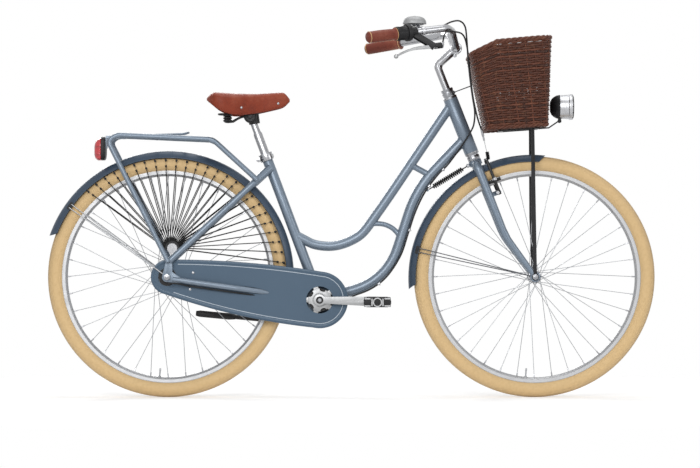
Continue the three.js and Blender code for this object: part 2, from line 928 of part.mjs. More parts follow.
function dropoutPlate(side, grow) {
  const outline = new THREE.Shape();
  const corner = fromRearAxle(chainstayStartForward, 0, -chainstayStartDrop);
  const lug = seatstayRadius + grow;
  outline.moveTo(rearAxle.x - (dropoutRadius + grow), rearAxle.z);
  outline.lineTo(lugCentre.x - lug, lugCentre.z);
  outline.absarc(lugCentre.x, lugCentre.z, lug, Math.PI, 0, true);
  outline.lineTo(lugCentre.x + lug, rearAxle.z + dropoutRadius);
  outline.lineTo(corner.x + grow, corner.z + chainstayRadius + grow);
  outline.lineTo(corner.x + grow, corner.z - chainstayRadius - grow);
  outline.lineTo(rearAxle.x, rearAxle.z - dropoutRadius - grow);
  outline.absarc(rearAxle.x, rearAxle.z, dropoutRadius + grow, -Math.PI / 2, -Math.PI, true);
  return plate(outline, side * (dropoutFace - grow), side * (dropoutFace + dropoutThickness + grow));
}

const seatstayTop = onSeatTube(seatstayTopHeight);
function seatstayRoute(side) {
  const foot = vec(lugCentre.x, side * dropoutMiddle, lugCentre.z);
  const shoulder = between(foot, seatstayTop, seatstayShoulderShare);
  shoulder.y = side * seatstayShoulderSpread;
  const top = vec(seatstayTop.x, side * seatstayTopSpread, seatstayTop.z);
  return bentRoute([foot, shoulder, top], stayBend, 20);
}
const seatstaySolid = (side, grow) => taperedTube(
  seatstayRoute(side),
  (share) => seatstayRadius + grow + (seatstayTopRadius - seatstayRadius) * share ** 3,
  8,
);

function buildStays() {
  const midPlane = (side) => box(
    vec(seatstayTop.x - seatTubeLength, Math.min(0, -side * dropoutSpan) - (side < 0 ? gap : -gap), 0),
    vec(seatstayTop.x + seatTubeLength, Math.max(0, -side * dropoutSpan) - (side < 0 ? gap : -gap), wheelbase),
  );
  for (const [side, name] of [[-1, 'right'], [1, 'left']]) {
    const chainstay = joined(chainstaySolid(side, 0), dropoutPlate(side, 0));
    const pieces = [cut(chainstay, shellSolid(gap), axleHole, lowerTubeSolid(gap))];
    if (side > 0) pieces.push(standBracket());
    add(`chainstay_${name}`, joined(pieces), frameBlue);
    const stay = cut(seatstaySolid(side, 0), dropoutPlate(side, gap), seatTubeSolid(gap), midPlane(side));
    add(`seatstay_${name}`, stay, frameBlue);
  }
}

// Kickstand pivot, on a lug under the left chainstay
const standPivot = vec(bottomBracket.x - standPivotBack, standPivotSpread, bottomBracket.z - standPivotDrop);
const standAxis = vec(0, Math.cos(radians(standAxisTilt)), Math.sin(radians(standAxisTilt)));
function standBracket() {
  const route = chainstayRoute(1);
  const above = route.stations.reduce((best, p) =>
    (Math.abs(p.x - standPivot.x) < Math.abs(best.x - standPivot.x) ? p : best));
  const face = along(standPivot, standAxis, -standBarrelLength / 2 - gap);
  const back = along(face, standAxis, -standBracketThickness);
  const anchor = vec(standPivot.x, back.y, above.z);
  return joined(
    rod(back, face, standBarrelRadius, 10),
    bar(along(back, standAxis, standBracketThickness * 0.2), anchor, axisX,
      squareOutline(standBarrelRadius * 0.8, standBracketThickness * 0.3)),
  );
}

// Rear rack: a bent tube on each side, joined by cross bars
const rackCorner = (side) => ({
  foot: fromRearAxle(rackFootForward, side * rackFootSpread, rackFootHeight),
  elbow: fromRearAxle(-rackElbowBack, side * rackHalfWidth, rackElbowHeight),
  deckRear: fromRearAxle(-rackDeckBack, side * rackHalfWidth, rackElbowHeight + rackDeckRise),
  deckFront: fromRearAxle(rackDeckForward, side * rackFrontHalfWidth, rackElbowHeight + rackDeckRise * 0.2),
});
const rackRoute = (side) => {
  const corner = rackCorner(side);
  const landing = seatstayRoute(side).at(rackLandingShare);
  landing.y += side * (seatstayRadius + rackTubeRadius + gap);
  return bentRoute([corner.foot, corner.elbow, corner.deckRear, corner.deckFront, landing], rackBend, 50);
};
const deckPoint = (side, share) => {
  const corner = rackCorner(side);
  return between(corner.deckRear, corner.deckFront, share);
};

function buildRack() {
  const pieces = [];
  for (const side of [-1, 1]) {
    pieces.push(tube(rackRoute(side), rackTubeRadius, 8));
  }
  for (const share of rackCrossBarShares) {
    pieces.push(rod(deckPoint(-1, share), deckPoint(1, share), rackCrossBarRadius, 6));
  }
  const rear = between(deckPoint(-1, 0), deckPoint(1, 0), 0.5);
  const lightTop = rear.z - rackTubeRadius;
  const plateBack = tailLightFront + gap;
  pieces.push(box(
    vec(plateBack, -tailLightWidth * 0.3, lightTop - tailLightHeight * 0.6),
    vec(plateBack + tailPlateThickness, tailLightWidth * 0.3, lightTop),
  ));
  const bar0 = deckPoint(1, rackCrossBarShares[0]);
  pieces.push(box(
    vec(plateBack, -tailLightWidth * 0.2, lightTop - tailPlateThickness),
    vec(bar0.x, tailLightWidth * 0.2, bar0.z),
  ));
  const clear = [-1, 1].flatMap((side) => [dropoutPlate(side, gap), seatstaySolid(side, gap)]);
  const hinge = between(deckPoint(-1, clipHingeShare), deckPoint(1, clipHingeShare), 0.5);
  add('rear_rack', cut(joined(pieces), clear), frameBlue);
  buildRackClip(hinge);
}

// Spring clip: a wire bow that holds a load down on the rack
function buildRackClip(hinge) {
  const lift = rackCrossBarRadius + gap + clipWireRadius;
  const base = vec(hinge.x, 0, hinge.z);
  const corners = [-1, 1].map((side) => [
    vec(base.x, side * clipHalfWidth, base.z + lift),
    vec(base.x + clipReach * 0.85, side * clipHalfWidth, base.z + lift + clipLift * 0.3),
    vec(base.x + clipReach, side * clipHalfWidth * 0.8, base.z + lift + clipTipRise),
  ]);
  const route = bentRoute([...corners[0], ...corners[1].reverse()], clipBend, 45);
  const barrel = (y0, y1) => cut(
    rod(vec(base.x, y0, base.z), vec(base.x, y1, base.z), lift + clipWireRadius, 8),
    rod(
      vec(base.x, y0 - overrun, base.z),
      vec(base.x, y1 + overrun, base.z),
      clearBore(rackCrossBarRadius, 6),
      6,
    ),
  );
  add('rack_spring_clip', joined(
    tube(route, clipWireRadius, 4),
    barrel(-clipHalfWidth - clipWireRadius, -clipHalfWidth + clipBarrelLength),
    barrel(clipHalfWidth - clipBarrelLength, clipHalfWidth + clipWireRadius),
    rod(
      vec(base.x + clipReach * 0.5, -clipHalfWidth, base.z + lift + clipLift * 0.18),
      vec(base.x + clipReach * 0.5, clipHalfWidth, base.z + lift + clipLift * 0.18),
      clipWireRadius,
      6,
    ),
  ), blackSteel);
}

// Tail light behind the rack's elbow
const tailLightFront = rearAxle.x - rackElbowBack - rackTubeRadius - tailLightStandoff;
const tailLightMiddle = rearAxle.z + rackElbowHeight + rackDeckRise - tailLightDrop;
function buildTailLight() {
  const ring = (x, inset) => roundedOutline(
    tailLightWidth / 2 - inset,
    tailLightHeight / 2 - inset,
    tailLightCorner - inset / 2,
    3,
  ).map((p) => vec(x, p.x, tailLightMiddle + p.y));
  const joint = tailLightFront - tailHousingDepth;
  add('tail_light_housing', loft([
    ring(tailLightFront, tailLightChamfer),
    ring(tailLightFront - tailLightEdge, 0),
    ring(joint, 0),
  ]), blackPlastic);
  add('tail_light_lens', loft([
    ring(joint - gap, tailLensInsets[0]),
    ring(joint - tailLensDepth * 0.6, tailLensInsets[1]),
    ring(joint - tailLensDepth, tailLensInsets[2]),
  ]), redLens);
}

// Mudguards: a crowned sheet turned about the axle and cut to its arc
function mudguardSheet(centre, radius, from, to) {
  const crown = [];
  for (let i = 0; i <= mudguardCrownSteps; i += 1) {
    const share = (2 * i) / mudguardCrownSteps - 1;
    crown.push([radius - mudguardSkirt * Math.abs(share) ** 2.6, mudguardHalfWidth * share]);
  }
  const inner = crown.map(([r, y]) => [
    r - mudguardThickness,
    y * (1 - mudguardThickness / mudguardHalfWidth),
  ]).reverse();
  const ring = turned([...crown, ...inner], centre, axisY, mudguardFacets);
  const wedge = new THREE.Shape();
  const reach = radius * 1.6;
  wedge.moveTo(centre.x, centre.z);
  const open = fullTurn - (to - from);
  for (let i = 0; i <= 8; i += 1) {
    const turn = radians(to + (open * i) / 8);
    wedge.lineTo(centre.x + reach * Math.cos(turn), centre.z + reach * Math.sin(turn));
  }
  return cut(ring, plate(wedge, -mudguardHalfWidth * 2, mudguardHalfWidth * 2));
}

// Two wires a side from a clip under the mudguard's edge to an eye on the axle
function mudguardStays(centre, radius, angle, axle, eyeSpread, kneeRadius) {
  const clipRadius = radius - mudguardSkirt;
  const polar = (r, turn, y) => vec(
    centre.x + r * Math.cos(radians(turn)), y, centre.z + r * Math.sin(radians(turn)));
  const edge = mudguardHalfWidth;
  const spreadAngle = THREE.MathUtils.radToDeg(stayWireSpread / clipRadius) / 2;
  const pieces = [];
  for (const side of [-1, 1]) {
    const eye = vec(axle.x, side * eyeSpread, axle.z);
    for (const turn of [angle - spreadAngle, angle + spreadAngle]) {
      const outer = polar(clipRadius + stayClipDepth, turn, side * edge);
      const outward = vec(outer.x - eye.x, 0, outer.z - eye.z).normalize();
      const end = along(eye, outward, axleRadius + stayEyeInset);
      const knee = along(eye, outward, kneeRadius);
      const wire = new Route(kneeRadius > 0 ? [outer, knee, end] : [outer, end]);
      pieces.push(tube(wire, mudguardWireRadius, 4));
    }
    pieces.push(rod(
      vec(eye.x, side * (eyeSpread - mudguardWireRadius), eye.z),
      vec(eye.x, side * (eyeSpread + mudguardWireRadius), eye.z),
      axleRadius + stayEyeWall,
      8,
    ));
    const ends = [-1.7, 1.7].map((share) =>
      polar(clipRadius + stayClipDepth * 0.6, angle + share * spreadAngle, side * edge));
    pieces.push(bar(ends[0], ends[1], axisY, squareOutline(mudguardWireRadius, stayClipDepth / 2)));
  }
  return pieces;
}

function buildMudguards() {
  const rear = mudguardSheet(rearAxle, rearMudguardRadius, rearMudguardFrom, rearMudguardTo);
  const rearStays = mudguardStays(
    rearAxle, rearMudguardRadius, rearStayAngle, rearAxle, dropoutFace - gap - mudguardWireRadius,
    caseRearRadius + caseRearForward + stayClipDepth);
  add('rear_mudguard', joined(rear, cut(joined(rearStays), axleHole)), guardBlue);
  const centre = vec(frontAxle.x - frontMudguardBack, 0, frontAxle.z - frontMudguardSink);
  const front = mudguardSheet(centre, frontMudguardRadius, frontMudguardFrom, frontMudguardTo);
  const frontHole = rod(
    along(frontAxle, axisY, -forkTipSpread),
    along(frontAxle, axisY, forkTipSpread),
    axleRadius + gap,
    boreFacets,
  );
  const frontStays = mudguardStays(
    centre, frontMudguardRadius, frontStayAngle, frontAxle,
    forkTipSpread - forkEndThickness / 2 - gap - mudguardWireRadius, 0);
  add('front_mudguard', joined(front, cut(joined(frontStays), frontHole)), guardBlue);
}

// Skirt guard: cords fan out from a half-round bracket to beads on the mudguard's edge
function buildSkirtGuards() {
  const beadRing = rearMudguardRadius - mudguardSkirt - gap;
  for (const [side, name] of [[-1, 'right'], [1, 'left']]) {
    const hub = fromRearAxle(skirtBracketForward, side * skirtBracketSpread, skirtBracketHeight);
    const pieces = [];
    for (let i = 0; i < skirtCordCount; i += 1) {
      const share = i / (skirtCordCount - 1);
      const turn = radians(skirtFanFrom + (skirtFanTo - skirtFanFrom) * share);
      const rootTurn = radians(skirtRootFrom + (skirtRootTo - skirtRootFrom) * share);
      const root = vec(
        hub.x + skirtBracketRadius * 0.85 * Math.cos(rootTurn),
        hub.y,
        hub.z + skirtBracketRadius * 0.85 * Math.sin(rootTurn),
      );
      const tip = vec(
        rearAxle.x + beadRing * Math.cos(turn),
        side * (mudguardHalfWidth + gap + skirtBeadRadius),
        rearAxle.z + beadRing * Math.sin(turn),
      );
      pieces.push(beadedCord(root, tip));
    }
    const disc = rod(
      vec(hub.x, side * (skirtBracketSpread - skirtBracketThickness / 2), hub.z),
      vec(hub.x, side * (skirtBracketSpread + skirtBracketThickness / 2), hub.z),
      skirtBracketRadius,
      14,
    );
    const standoff = skirtStandoff(side, hub);
    add(`skirt_guard_${name}`, cut(joined(disc, pieces, standoff), seatstaySolid(side, gap)), blackPlastic);
  }
}

// One cord of the skirt guard with its bead at the outer end
function beadedCord(root, tip) {
  const length = root.distanceTo(tip);
  const beadShare = (2 * skirtBeadRadius) / length;
  const route = new Route([root, between(root, tip, 1 - beadShare), tip]);
  return taperedTube(route, (share) => (share > 0.5 ? skirtBeadRadius : skirtCordRadius), 3);
}

function bead(place, radius) {
  const geometry = new THREE.OctahedronGeometry(radius, 0);
  geometry.translate(place.x, place.y, place.z);
  return solid(geometry);
}

// A foot from the bracket out to the inner side of the seat stay
function skirtStandoff(side, hub) {
  const route = seatstayRoute(side);
  const target = route.at(0.08);
  return rod(vec(hub.x, hub.y, hub.z - skirtBracketRadius * 0.6), target, skirtBracketThickness, 8);
}

// Wheels
function rimProfile() {
  const flange = rimWidth / 2;
  const inside = flange - rimWall;
  const floor = rimOuterRadius - rimChannelDepth;
  const base = rimBaseWidth / 2;
  return [
    [rimOuterRadius, -flange], [rimOuterRadius, -inside], [floor, 0], [rimOuterRadius, inside],
    [rimOuterRadius, flange], [rimInnerRadius, base],
    [rimInnerRadius, -base],
  ];
}

function tyreProfile() {
  const half = tyreWidth / 2;
  const bead = rimWidth / 2 - rimWall - gap;
  const centre = tyreOuterRadius - half;
  const points = [];
  const from = -THREE.MathUtils.radToDeg(Math.asin((centre - rimOuterRadius - gap) / half));
  const steps = 6;
  for (let i = 0; i <= steps; i += 1) {
    const turn = radians(from + ((180 - 2 * from) * i) / steps);
    points.push([centre + half * Math.sin(turn), half * Math.cos(turn)]);
  }
  const foot = rimOuterRadius - rimChannelDepth + gap;
  return [...points, [rimOuterRadius + gap, -bead], [foot, 0], [rimOuterRadius + gap, bead]];
}

function spokes(axle, flangeSpan, flangeRadius) {
  const perSide = spokeCount / 2;
  const pitch = 360 / spokeCount;
  const holeRing = flangeRadius - flangeHoleInset;
  const pieces = [];
  for (let i = 0; i < spokeCount; i += 1) {
    const side = i % 2 === 0 ? -1 : 1;
    const leading = Math.floor(i / 2) % 2 === 0 ? 1 : -1;
    const rimTurn = radians(pitch * i);
    const hubTurn = rimTurn + leading * radians((spokeCrossings * 360) / perSide);
    const flangeFace = flangeThickness / 2 + gap + spokeRadius;
    const y = side * (flangeSpan / 2 + leading * flangeFace + (leading > 0 ? spokeCant : 0));
    const inner = vec(axle.x + holeRing * Math.cos(hubTurn), y, axle.z + holeRing * Math.sin(hubTurn));
    const rimRadius = rimInnerRadius + rimWall;
    const outer = vec(
      axle.x + rimRadius * Math.cos(rimTurn),
      side * rimBaseWidth * 0.12,
      axle.z + rimRadius * Math.sin(rimTurn),
    );
    pieces.push(tube(new Route([inner, outer]), spokeRadius, 3));
  }
  return pieces;
}

function hubBody(axle, flangeSpan, flangeRadius, coreRadius, endSpan, endRadius) {
  const flange = flangeSpan / 2;
  const half = flangeThickness / 2;
  const end = endSpan / 2;
  const bore = axleRadius + gap;
  const right = [
    [bore, -end], [endRadius, -end], [endRadius, -flange - half - 1],
    [flangeRadius, -flange - half], [flangeRadius, -flange + half], [coreRadius, -flange + half],
  ];
  const leftHalf = [
    [coreRadius, flange - half], [flangeRadius, flange - half], [flangeRadius, flange + half],
    [endRadius, flange + half + 1], [endRadius, end], [bore, end],
  ];
  return turned([...right, ...leftHalf], axle, axisY, hubFacets);
}

function buildWheel(name, axle, flangeSpan, flangeRadius, hub) {
  const rim = joined(turned(rimProfile(), axle, axisY, wheelFacets), spokes(axle, flangeSpan, flangeRadius));
  add(`${name}_tyre`, turned(tyreProfile(), axle, axisY, wheelFacets), creamRubber);
  add(`${name}_rim`, rim, silver);
  add(`${name}_hub`, hub, silver);
}

function buildAxle(name, axle, reach, nuts) {
  const half = reach / 2;
  const pieces = [rod(along(axle, axisY, -half), along(axle, axisY, half), axleRadius, boreFacets)];
  for (const [from, to, radius] of nuts) {
    for (const side of [-1, 1]) {
      pieces.push(rod(along(axle, axisY, side * from), along(axle, axisY, side * to), radius, 6));
    }
  }
  add(name, joined(pieces), silver);
}

function buildWheels() {
  const rearHub = hubBody(
    rearAxle, rearFlangeSpan, rearFlangeRadius, rearHubCoreRadius, rearHubEndSpan, rearHubDriverRadius);
  const frontHub = hubBody(
    frontAxle, frontFlangeSpan, frontFlangeRadius, frontHubCoreRadius, frontHubEndSpan,
    frontHubCoreRadius + frontHubShoulder);
  buildWheel('rear', rearAxle, rearFlangeSpan, rearFlangeRadius, cut(rearHub, sprocketSeat()));
  buildWheel('front', frontAxle, frontFlangeSpan, frontFlangeRadius, frontHub);
  const rearNutFace = dropoutFace + dropoutThickness + gap;
  buildAxle('rear_axle', rearAxle, 2 * (rearNutFace + rearAxleStub), [
    [rearNutFace, rearNutFace + rearNutHeight, rearNutRadius],
  ]);
  const frontNutFace = supportSpread + supportBarThickness / 2 + gap;
  buildAxle('front_axle', frontAxle, 2 * (frontNutFace + frontAxleStub), [
    [frontNutFace, frontNutFace + frontNutHeight, frontNutRadius],
  ]);
}

// Toothed wheels, chain and chain case
const pitchRadius = (teeth) => chainPitch / 2 / Math.sin(Math.PI / teeth);
function toothedOutline(centre, teeth) {
  const pitch = pitchRadius(teeth);
  const root = pitch - toothHeight * 0.7;
  const tip = pitch + toothHeight * 0.3;
  const points = [];
  for (let i = 0; i < teeth; i += 1) {
    for (const [share, radius] of [[0.25, root], [0.75, tip]]) {
      const turn = (2 * Math.PI * (i + share)) / teeth;
      points.push(new THREE.Vector2(centre.x + radius * Math.cos(turn), centre.z + radius * Math.sin(turn)));
    }
  }
  return points;
}

const sprocketBore = rearHubDriverRadius - sprocketBoreInset;
const sprocketSeat = () => {
  const clear = toothedThickness / 2 + gap;
  return cut(
    rod(
      fromRearAxle(0, -chainLine - clear, 0),
      fromRearAxle(0, -chainLine + clear, 0),
      rearFlangeRadius,
      24,
    ),
    rod(
      fromRearAxle(0, -chainLine - clear - overrun, 0),
      fromRearAxle(0, -chainLine + clear + overrun, 0),
      sprocketBore,
      24,
    ),
  );
};

function buildSprocket() {
  const half = toothedThickness / 2;
  const disc = plate(toothedOutline(rearAxle, sprocketTeeth), -chainLine - half, -chainLine + half);
  const bore = rod(
    fromRearAxle(0, -chainLine - overrun, 0),
    fromRearAxle(0, -chainLine + overrun, 0),
    sprocketBore + gap,
    24,
  );
  add('rear_sprocket', cut(disc, bore), silver);
}

// An outline round two circles with the sides bowed outwards
function beltOutline(rear, rearRadius, front, frontRadius, topBulge = 0, bottomBulge = 0) {
  const distance = Math.hypot(front.x - rear.x, front.z - rear.z);
  const lean = Math.atan2(front.z - rear.z, front.x - rear.x);
  const open = Math.asin((frontRadius - rearRadius) / distance);
  const top = lean + Math.PI / 2 + open;
  const bottom = lean - Math.PI / 2 - open;
  const onCircle = (centre, radius, turn) => [
    centre.x + radius * Math.cos(turn), centre.z + radius * Math.sin(turn)];
  const outline = new THREE.Shape();
  const bow = (from, to, turn, bulge) => {
    const control = [
      (from[0] + to[0]) / 2 + 2 * bulge * Math.cos(turn),
      (from[1] + to[1]) / 2 + 2 * bulge * Math.sin(turn),
    ];
    outline.quadraticCurveTo(...control, ...to);
  };
  const rearTop = onCircle(rear, rearRadius, top);
  const rearBottom = onCircle(rear, rearRadius, bottom);
  const frontTop = onCircle(front, frontRadius, top);
  const frontBottom = onCircle(front, frontRadius, bottom);
  outline.moveTo(...rearTop);
  outline.absarc(rear.x, rear.z, rearRadius, top, bottom + 2 * Math.PI, false);
  bow(rearBottom, frontBottom, bottom, bottomBulge);
  outline.absarc(front.x, front.z, frontRadius, bottom, top, false);
  bow(frontTop, rearTop, top, topBulge);
  return outline;
}

function buildChain() {
  const sag = 1 - Math.cos(Math.PI / plateCurveSteps / 4);
  const clear = toothHeight * 0.3 + gap + (pitchRadius(chainringTeeth) + toothHeight) * sag;
  const loop = (extra) => beltOutline(
    rearAxle, pitchRadius(sprocketTeeth) + extra, bottomBracket, pitchRadius(chainringTeeth) + extra);
  const half = chainWidth / 2;
  const outer = plate(loop(clear + chainHeight), -chainLine - half, -chainLine + half);
  const inner = plate(loop(clear), -chainLine - half - overrun, -chainLine + half + overrun);
  add('chain', cut(outer, inner), blackSteel);
}

const caseRear = vec(rearAxle.x + caseRearForward, 0, rearAxle.z);
const caseOutline = (inset) => beltOutline(
  caseRear, caseRearRadius - inset, bottomBracket, caseFrontRadius - inset, caseTopBulge, caseBottomBulge);

// The chain case comes apart at its middle plane into two shells
function buildChainCase() {
  const split = chainLine + chainWidth / 2 - caseWall;
  const hole = (centre, radius, from, to) => rod(
    along(centre, axisY, -from),
    along(centre, axisY, -to),
    radius,
    10,
  );
  const stay = chainstaySolid(-1, caseSlotClearance);
  const cable = tube(shiftCableRoute, cableRadius + caseSlotClearance, 8);
  add('chain_case_outer', cut(
    plate(caseOutline(0), -caseOuterFace, -split),
    plate(caseOutline(caseWall), -caseOuterFace + caseWall, -split + overrun),
    hole(bottomBracket, caseFrontOpening, split, caseOuterFace + overrun),
    hole(rearAxle, caseRearOpening, split, caseOuterFace + overrun),
    stay,
    cable,
  ), guardBlue);
  add('chain_case_inner', cut(
    plate(caseOutline(gap), -split + gap, -caseInnerFace),
    plate(caseOutline(caseWall + gap), -split - overrun, -caseInnerFace - caseWall),
    hole(bottomBracket, bottomBracketRadius + caseSlotClearance, 0, caseOuterFace),
    hole(rearAxle, caseRearOpening, 0, caseOuterFace),
    stay,
    cable,
  ), guardBlue);
}

// Crankset
const crankDirection = vec(Math.cos(radians(crankAngle)), 0, Math.sin(radians(crankAngle)));
const pedalCentre = (side) => along(bottomBracket, crankDirection, side < 0 ? crankLength : -crankLength);

function crankArm(side) {
  const tip = pedalCentre(side);
  const outer = crankInnerFace + crankThickness;
  const toward = tip.clone().sub(bottomBracket).normalize();
  const lean = Math.atan2(toward.z, toward.x);
  const across = vec(-toward.z, 0, toward.x);
  const neck = along(tip, toward, -crankLength * crankNeckShare);
  const waist = crankEndRadius * crankWaistShare;
  const shape = new THREE.Shape();
  shape.absarc(
    bottomBracket.x,
    bottomBracket.z,
    crankHubRadius,
    lean + 0.6,
    lean + 2 * Math.PI - 0.6,
    false,
  );
  shape.lineTo(neck.x - across.x * waist, neck.z - across.z * waist);
  shape.absarc(tip.x, tip.z, crankEndRadius, lean - Math.PI / 2, lean + Math.PI / 2, false);
  shape.lineTo(neck.x + across.x * waist, neck.z + across.z * waist);
  const pedalAxle = rod(
    along(tip, axisY, side * (crankInnerFace + gap)),
    along(tip, axisY, side * (pedalInnerFace + pedalWidth - 2 * pedalCageWall)),
    pedalAxleRadius,
    boreFacets,
  );
  return joined(plate(shape, side * crankInnerFace, side * outer), pedalAxle);
}

function buildCrankset() {
  const half = toothedThickness / 2;
  const spiderInner = chainLine + half + gap;
  const spindle = turned(
    [
      [0, -spiderInner], [spindleRadius * 0.8, -spiderInner], [spindleRadius, -shellEnd],
      [spindleRadius, shellEnd], [spindleRadius * 0.8, crankInnerFace + gap], [0, crankInnerFace + gap],
    ],
    bottomBracket,
    axisY,
    12,
  );
  add('crank_arm_left', joined(crankArm(1), spindle), silver);
  const ringHole = rod(
    along(bottomBracket, axisY, -chainLine - overrun),
    along(bottomBracket, axisY, -chainLine + overrun),
    spiderReach - crankEndRadius / 2,
    15,
  );
  add('chainring', cut(
    plate(toothedOutline(bottomBracket, chainringTeeth), -chainLine - half, -chainLine + half),
    ringHole,
  ), blackSteel);

  const armOutline = [
    [0, -spiderRootWidth / 2], [spiderReach, -spiderTipWidth / 2], [spiderReach, spiderTipWidth / 2],
    [0, spiderRootWidth / 2],
  ];
  const spider = [];
  for (let i = 0; i < spiderArms; i += 1) {
    const turn = (2 * Math.PI * i) / spiderArms + Math.PI / spiderArms;
    const outline = armOutline.map(([x, y]) => new THREE.Vector2(
      bottomBracket.x + x * Math.cos(turn) - y * Math.sin(turn),
      bottomBracket.z + x * Math.sin(turn) + y * Math.cos(turn),
    ));
    spider.push(plate(outline, -spiderInner - gap, -spiderInner - gap - spiderThickness));
  }
  spider.push(rod(
    along(bottomBracket, axisY, -spiderInner - gap),
    along(bottomBracket, axisY, -crankInnerFace - crankThickness / 2),
    crankHubRadius,
    20,
  ));
  add('crank_arm_right', joined(spider, crankArm(-1)), silver);
}

// Pedals: a cage round a barrel, with a tread block on each side
function buildPedals() {
  for (const [side, name] of [[-1, 'right'], [1, 'left']]) {
    const centre = pedalCentre(side);
    const inner = side * pedalInnerFace;
    const outer = side * (pedalInnerFace + pedalWidth);
    const at = (x, z) => new THREE.Vector2(centre.x + x, centre.z + z);
    const outline = (inset) => roundedOutline(
      pedalLength / 2 - inset, pedalThickness / 2 - inset, pedalThickness / 3, 1).map((p) => at(p.x, p.y));
    const wall = side * pedalCageWall;
    const pieces = [
      plate(outline(0), inner, inner + wall),
      plate(outline(0), outer - wall, outer),
      rod(vec(centre.x, inner, centre.z), vec(centre.x, outer, centre.z), pedalBarrelRadius, boreFacets),
    ];
    for (const end of [-1, 1]) {
      const middle = end * (pedalLength / 2 - pedalBlockInset);
      for (const face of [-1, 1]) {
        const block = squareOutline(pedalBlockLength / 2, pedalThickness / 4 - pedalBlockRelief)
          .map((p) => at(middle + p.x * 0.7, face * (pedalThickness / 4) + p.y));
        pieces.push(plate(block, inner, outer));
      }
    }
    const bore = rod(
      vec(centre.x, inner - side * overrun, centre.z),
      vec(centre.x, outer - wall, centre.z),
      clearBore(pedalAxleRadius, boreFacets),
      boreFacets,
    );
    add(`pedal_${name}`, cut(joined(pieces), bore), silver);
  }
}

// Kickstand
function buildKickstand() {
  const knee = vec(standPivot.x - standKneeBack, standPivot.y, standPivot.z - standKneeDrop);
  const tip = vec(standPivot.x - standReach, standPivot.y, standPivot.z - standTipDrop);
  const footTop = along(tip, knee.clone().sub(tip).normalize(), standFootLength);
  const barrel = rod(
    along(standPivot, standAxis, -standBarrelLength / 2),
    along(standPivot, standAxis, standBarrelLength / 2),
    standBarrelRadius,
    10,
  );
  const leg = tube(bentRoute([standPivot, knee, footTop], 30, 25), standLegRadius, 8);
  const route = new Route([footTop, between(footTop, tip, 0.15), between(footTop, tip, 0.9), tip]);
  const foot = taperedTube(route, (share) => standFootRadius * (share === 0 || share === 1 ? 0.75 : 1), 8);
  add('kickstand', joined(barrel, leg, foot), silver);
}

// Seat post, clamp, saddle and its springs
const postTop = seatTubeLength + postExposed;
function buildSeat() {
  const post = turned(
    [
      [0, 0], [seatPostRadius, 0], [seatPostRadius, postInsertion + postExposed * 0.62],
      [seatPostRadius * 0.8, postInsertion + postExposed * 0.7],
      [seatPostRadius * 0.8, postInsertion + postExposed], [0, postInsertion + postExposed],
    ],
    onSeatTube(seatTubeLength - postInsertion),
    seatUp,
    12,
  );
  add('seat_post', post, silver);
  buildSaddleFrame();
  buildSaddleCover();
  buildSeatCollar();
}

const clampCentre = onSeatTube(postTop + seatClampRadius * 0.4);
const saddleRear = vec(clampCentre.x - saddleLength + saddleSetback, 0, 0);
const saddleTop = clampCentre.z + saddleRise;

function buildSaddleFrame() {
  const clamp = rod(
    along(clampCentre, axisY, -seatClampWidth / 2),
    along(clampCentre, axisY, seatClampWidth / 2),
    seatClampRadius,
    14,
  );
  const pieces = [clamp];
  const rearX = saddleRear.x + saddleLength * saddleSpringShare;
  const noseX = saddleRear.x + saddleLength * saddleNoseShare;
  const noseZ = saddleTop - saddleCrown - saddleNoseDrop;
  const railZ = clampCentre.z + seatClampRadius * 0.2;
  const springBase = saddleTop - saddleSkirtDepth - saddleSpringHeight * 0.5;
  for (const side of [-1, 1]) {
    const y = side * railHalfSpan;
    const spread = side * saddleRearHalfWidth * 0.5;
    const nose = vec(noseX, side * railNoseHalfSpan, noseZ);
    const springFoot = vec(rearX, spread, springBase);
    pieces.push(tube(bentRoute([
      nose, vec(clampCentre.x + railAhead, y, railZ), vec(clampCentre.x - railBack, y, railZ), springFoot,
    ], railBend, 40), railRadius, 5));
    const turns = coilStations(springFoot, axisZ, saddleSpringRadius, saddleSpringTurns, saddleSpringHeight);
    pieces.push(tube(new Route(turns), saddleSpringWire, 5));
    pieces.push(rod(
      along(springFoot, axisZ, -springCupDrop),
      along(springFoot, axisZ, springCupRise),
      saddleSpringRadius + saddleSpringWire,
      8,
    ));
  }
  const plateZ = springBase + saddleSpringHeight - saddleSpringWire;
  const half = saddleRearHalfWidth * 0.6;
  pieces.push(box(
    vec(rearX - saddlePlateBack, -half, plateZ),
    vec(rearX + saddlePlateAhead, half, plateZ + saddlePlateThickness),
  ));
  pieces.push(rod(
    vec(noseX, -saddleBoltHalfLength, noseZ), vec(noseX, saddleBoltHalfLength, noseZ), saddleBoltRadius, 6));
  const inside = cut(joined(pieces), rod(
    onSeatTube(seatTubeLength), onSeatTube(postTop + gap), seatPostRadius * 0.8 + gap, 14));
  add('saddle_frame', inside, blackSteel);
}

// The middle line of a spring wound round its axis
function coilStations(base, direction, radius, turns, length) {
  const stepsPerTurn = 8;
  const across = direction.clone().cross(axisY).normalize();
  const other = direction.clone().cross(across).normalize();
  const stations = [];
  const count = turns * stepsPerTurn;
  for (let i = 0; i <= count; i += 1) {
    const turn = (2 * Math.PI * i) / stepsPerTurn;
    const centre = along(base, direction, (length * i) / count);
    stations.push(along(along(centre, across, radius * Math.cos(turn)), other, radius * Math.sin(turn)));
  }
  return stations;
}

// The least space between one turn of a wire and the next
function leastGap(stations, wire) {
  let least = Infinity;
  for (let i = 0; i < stations.length; i += 1) {
    for (let k = i + 5; k < stations.length; k += 1) {
      least = Math.min(least, stations[i].distanceTo(stations[k]) - 2 * wire);
    }
  }
  return least;
}

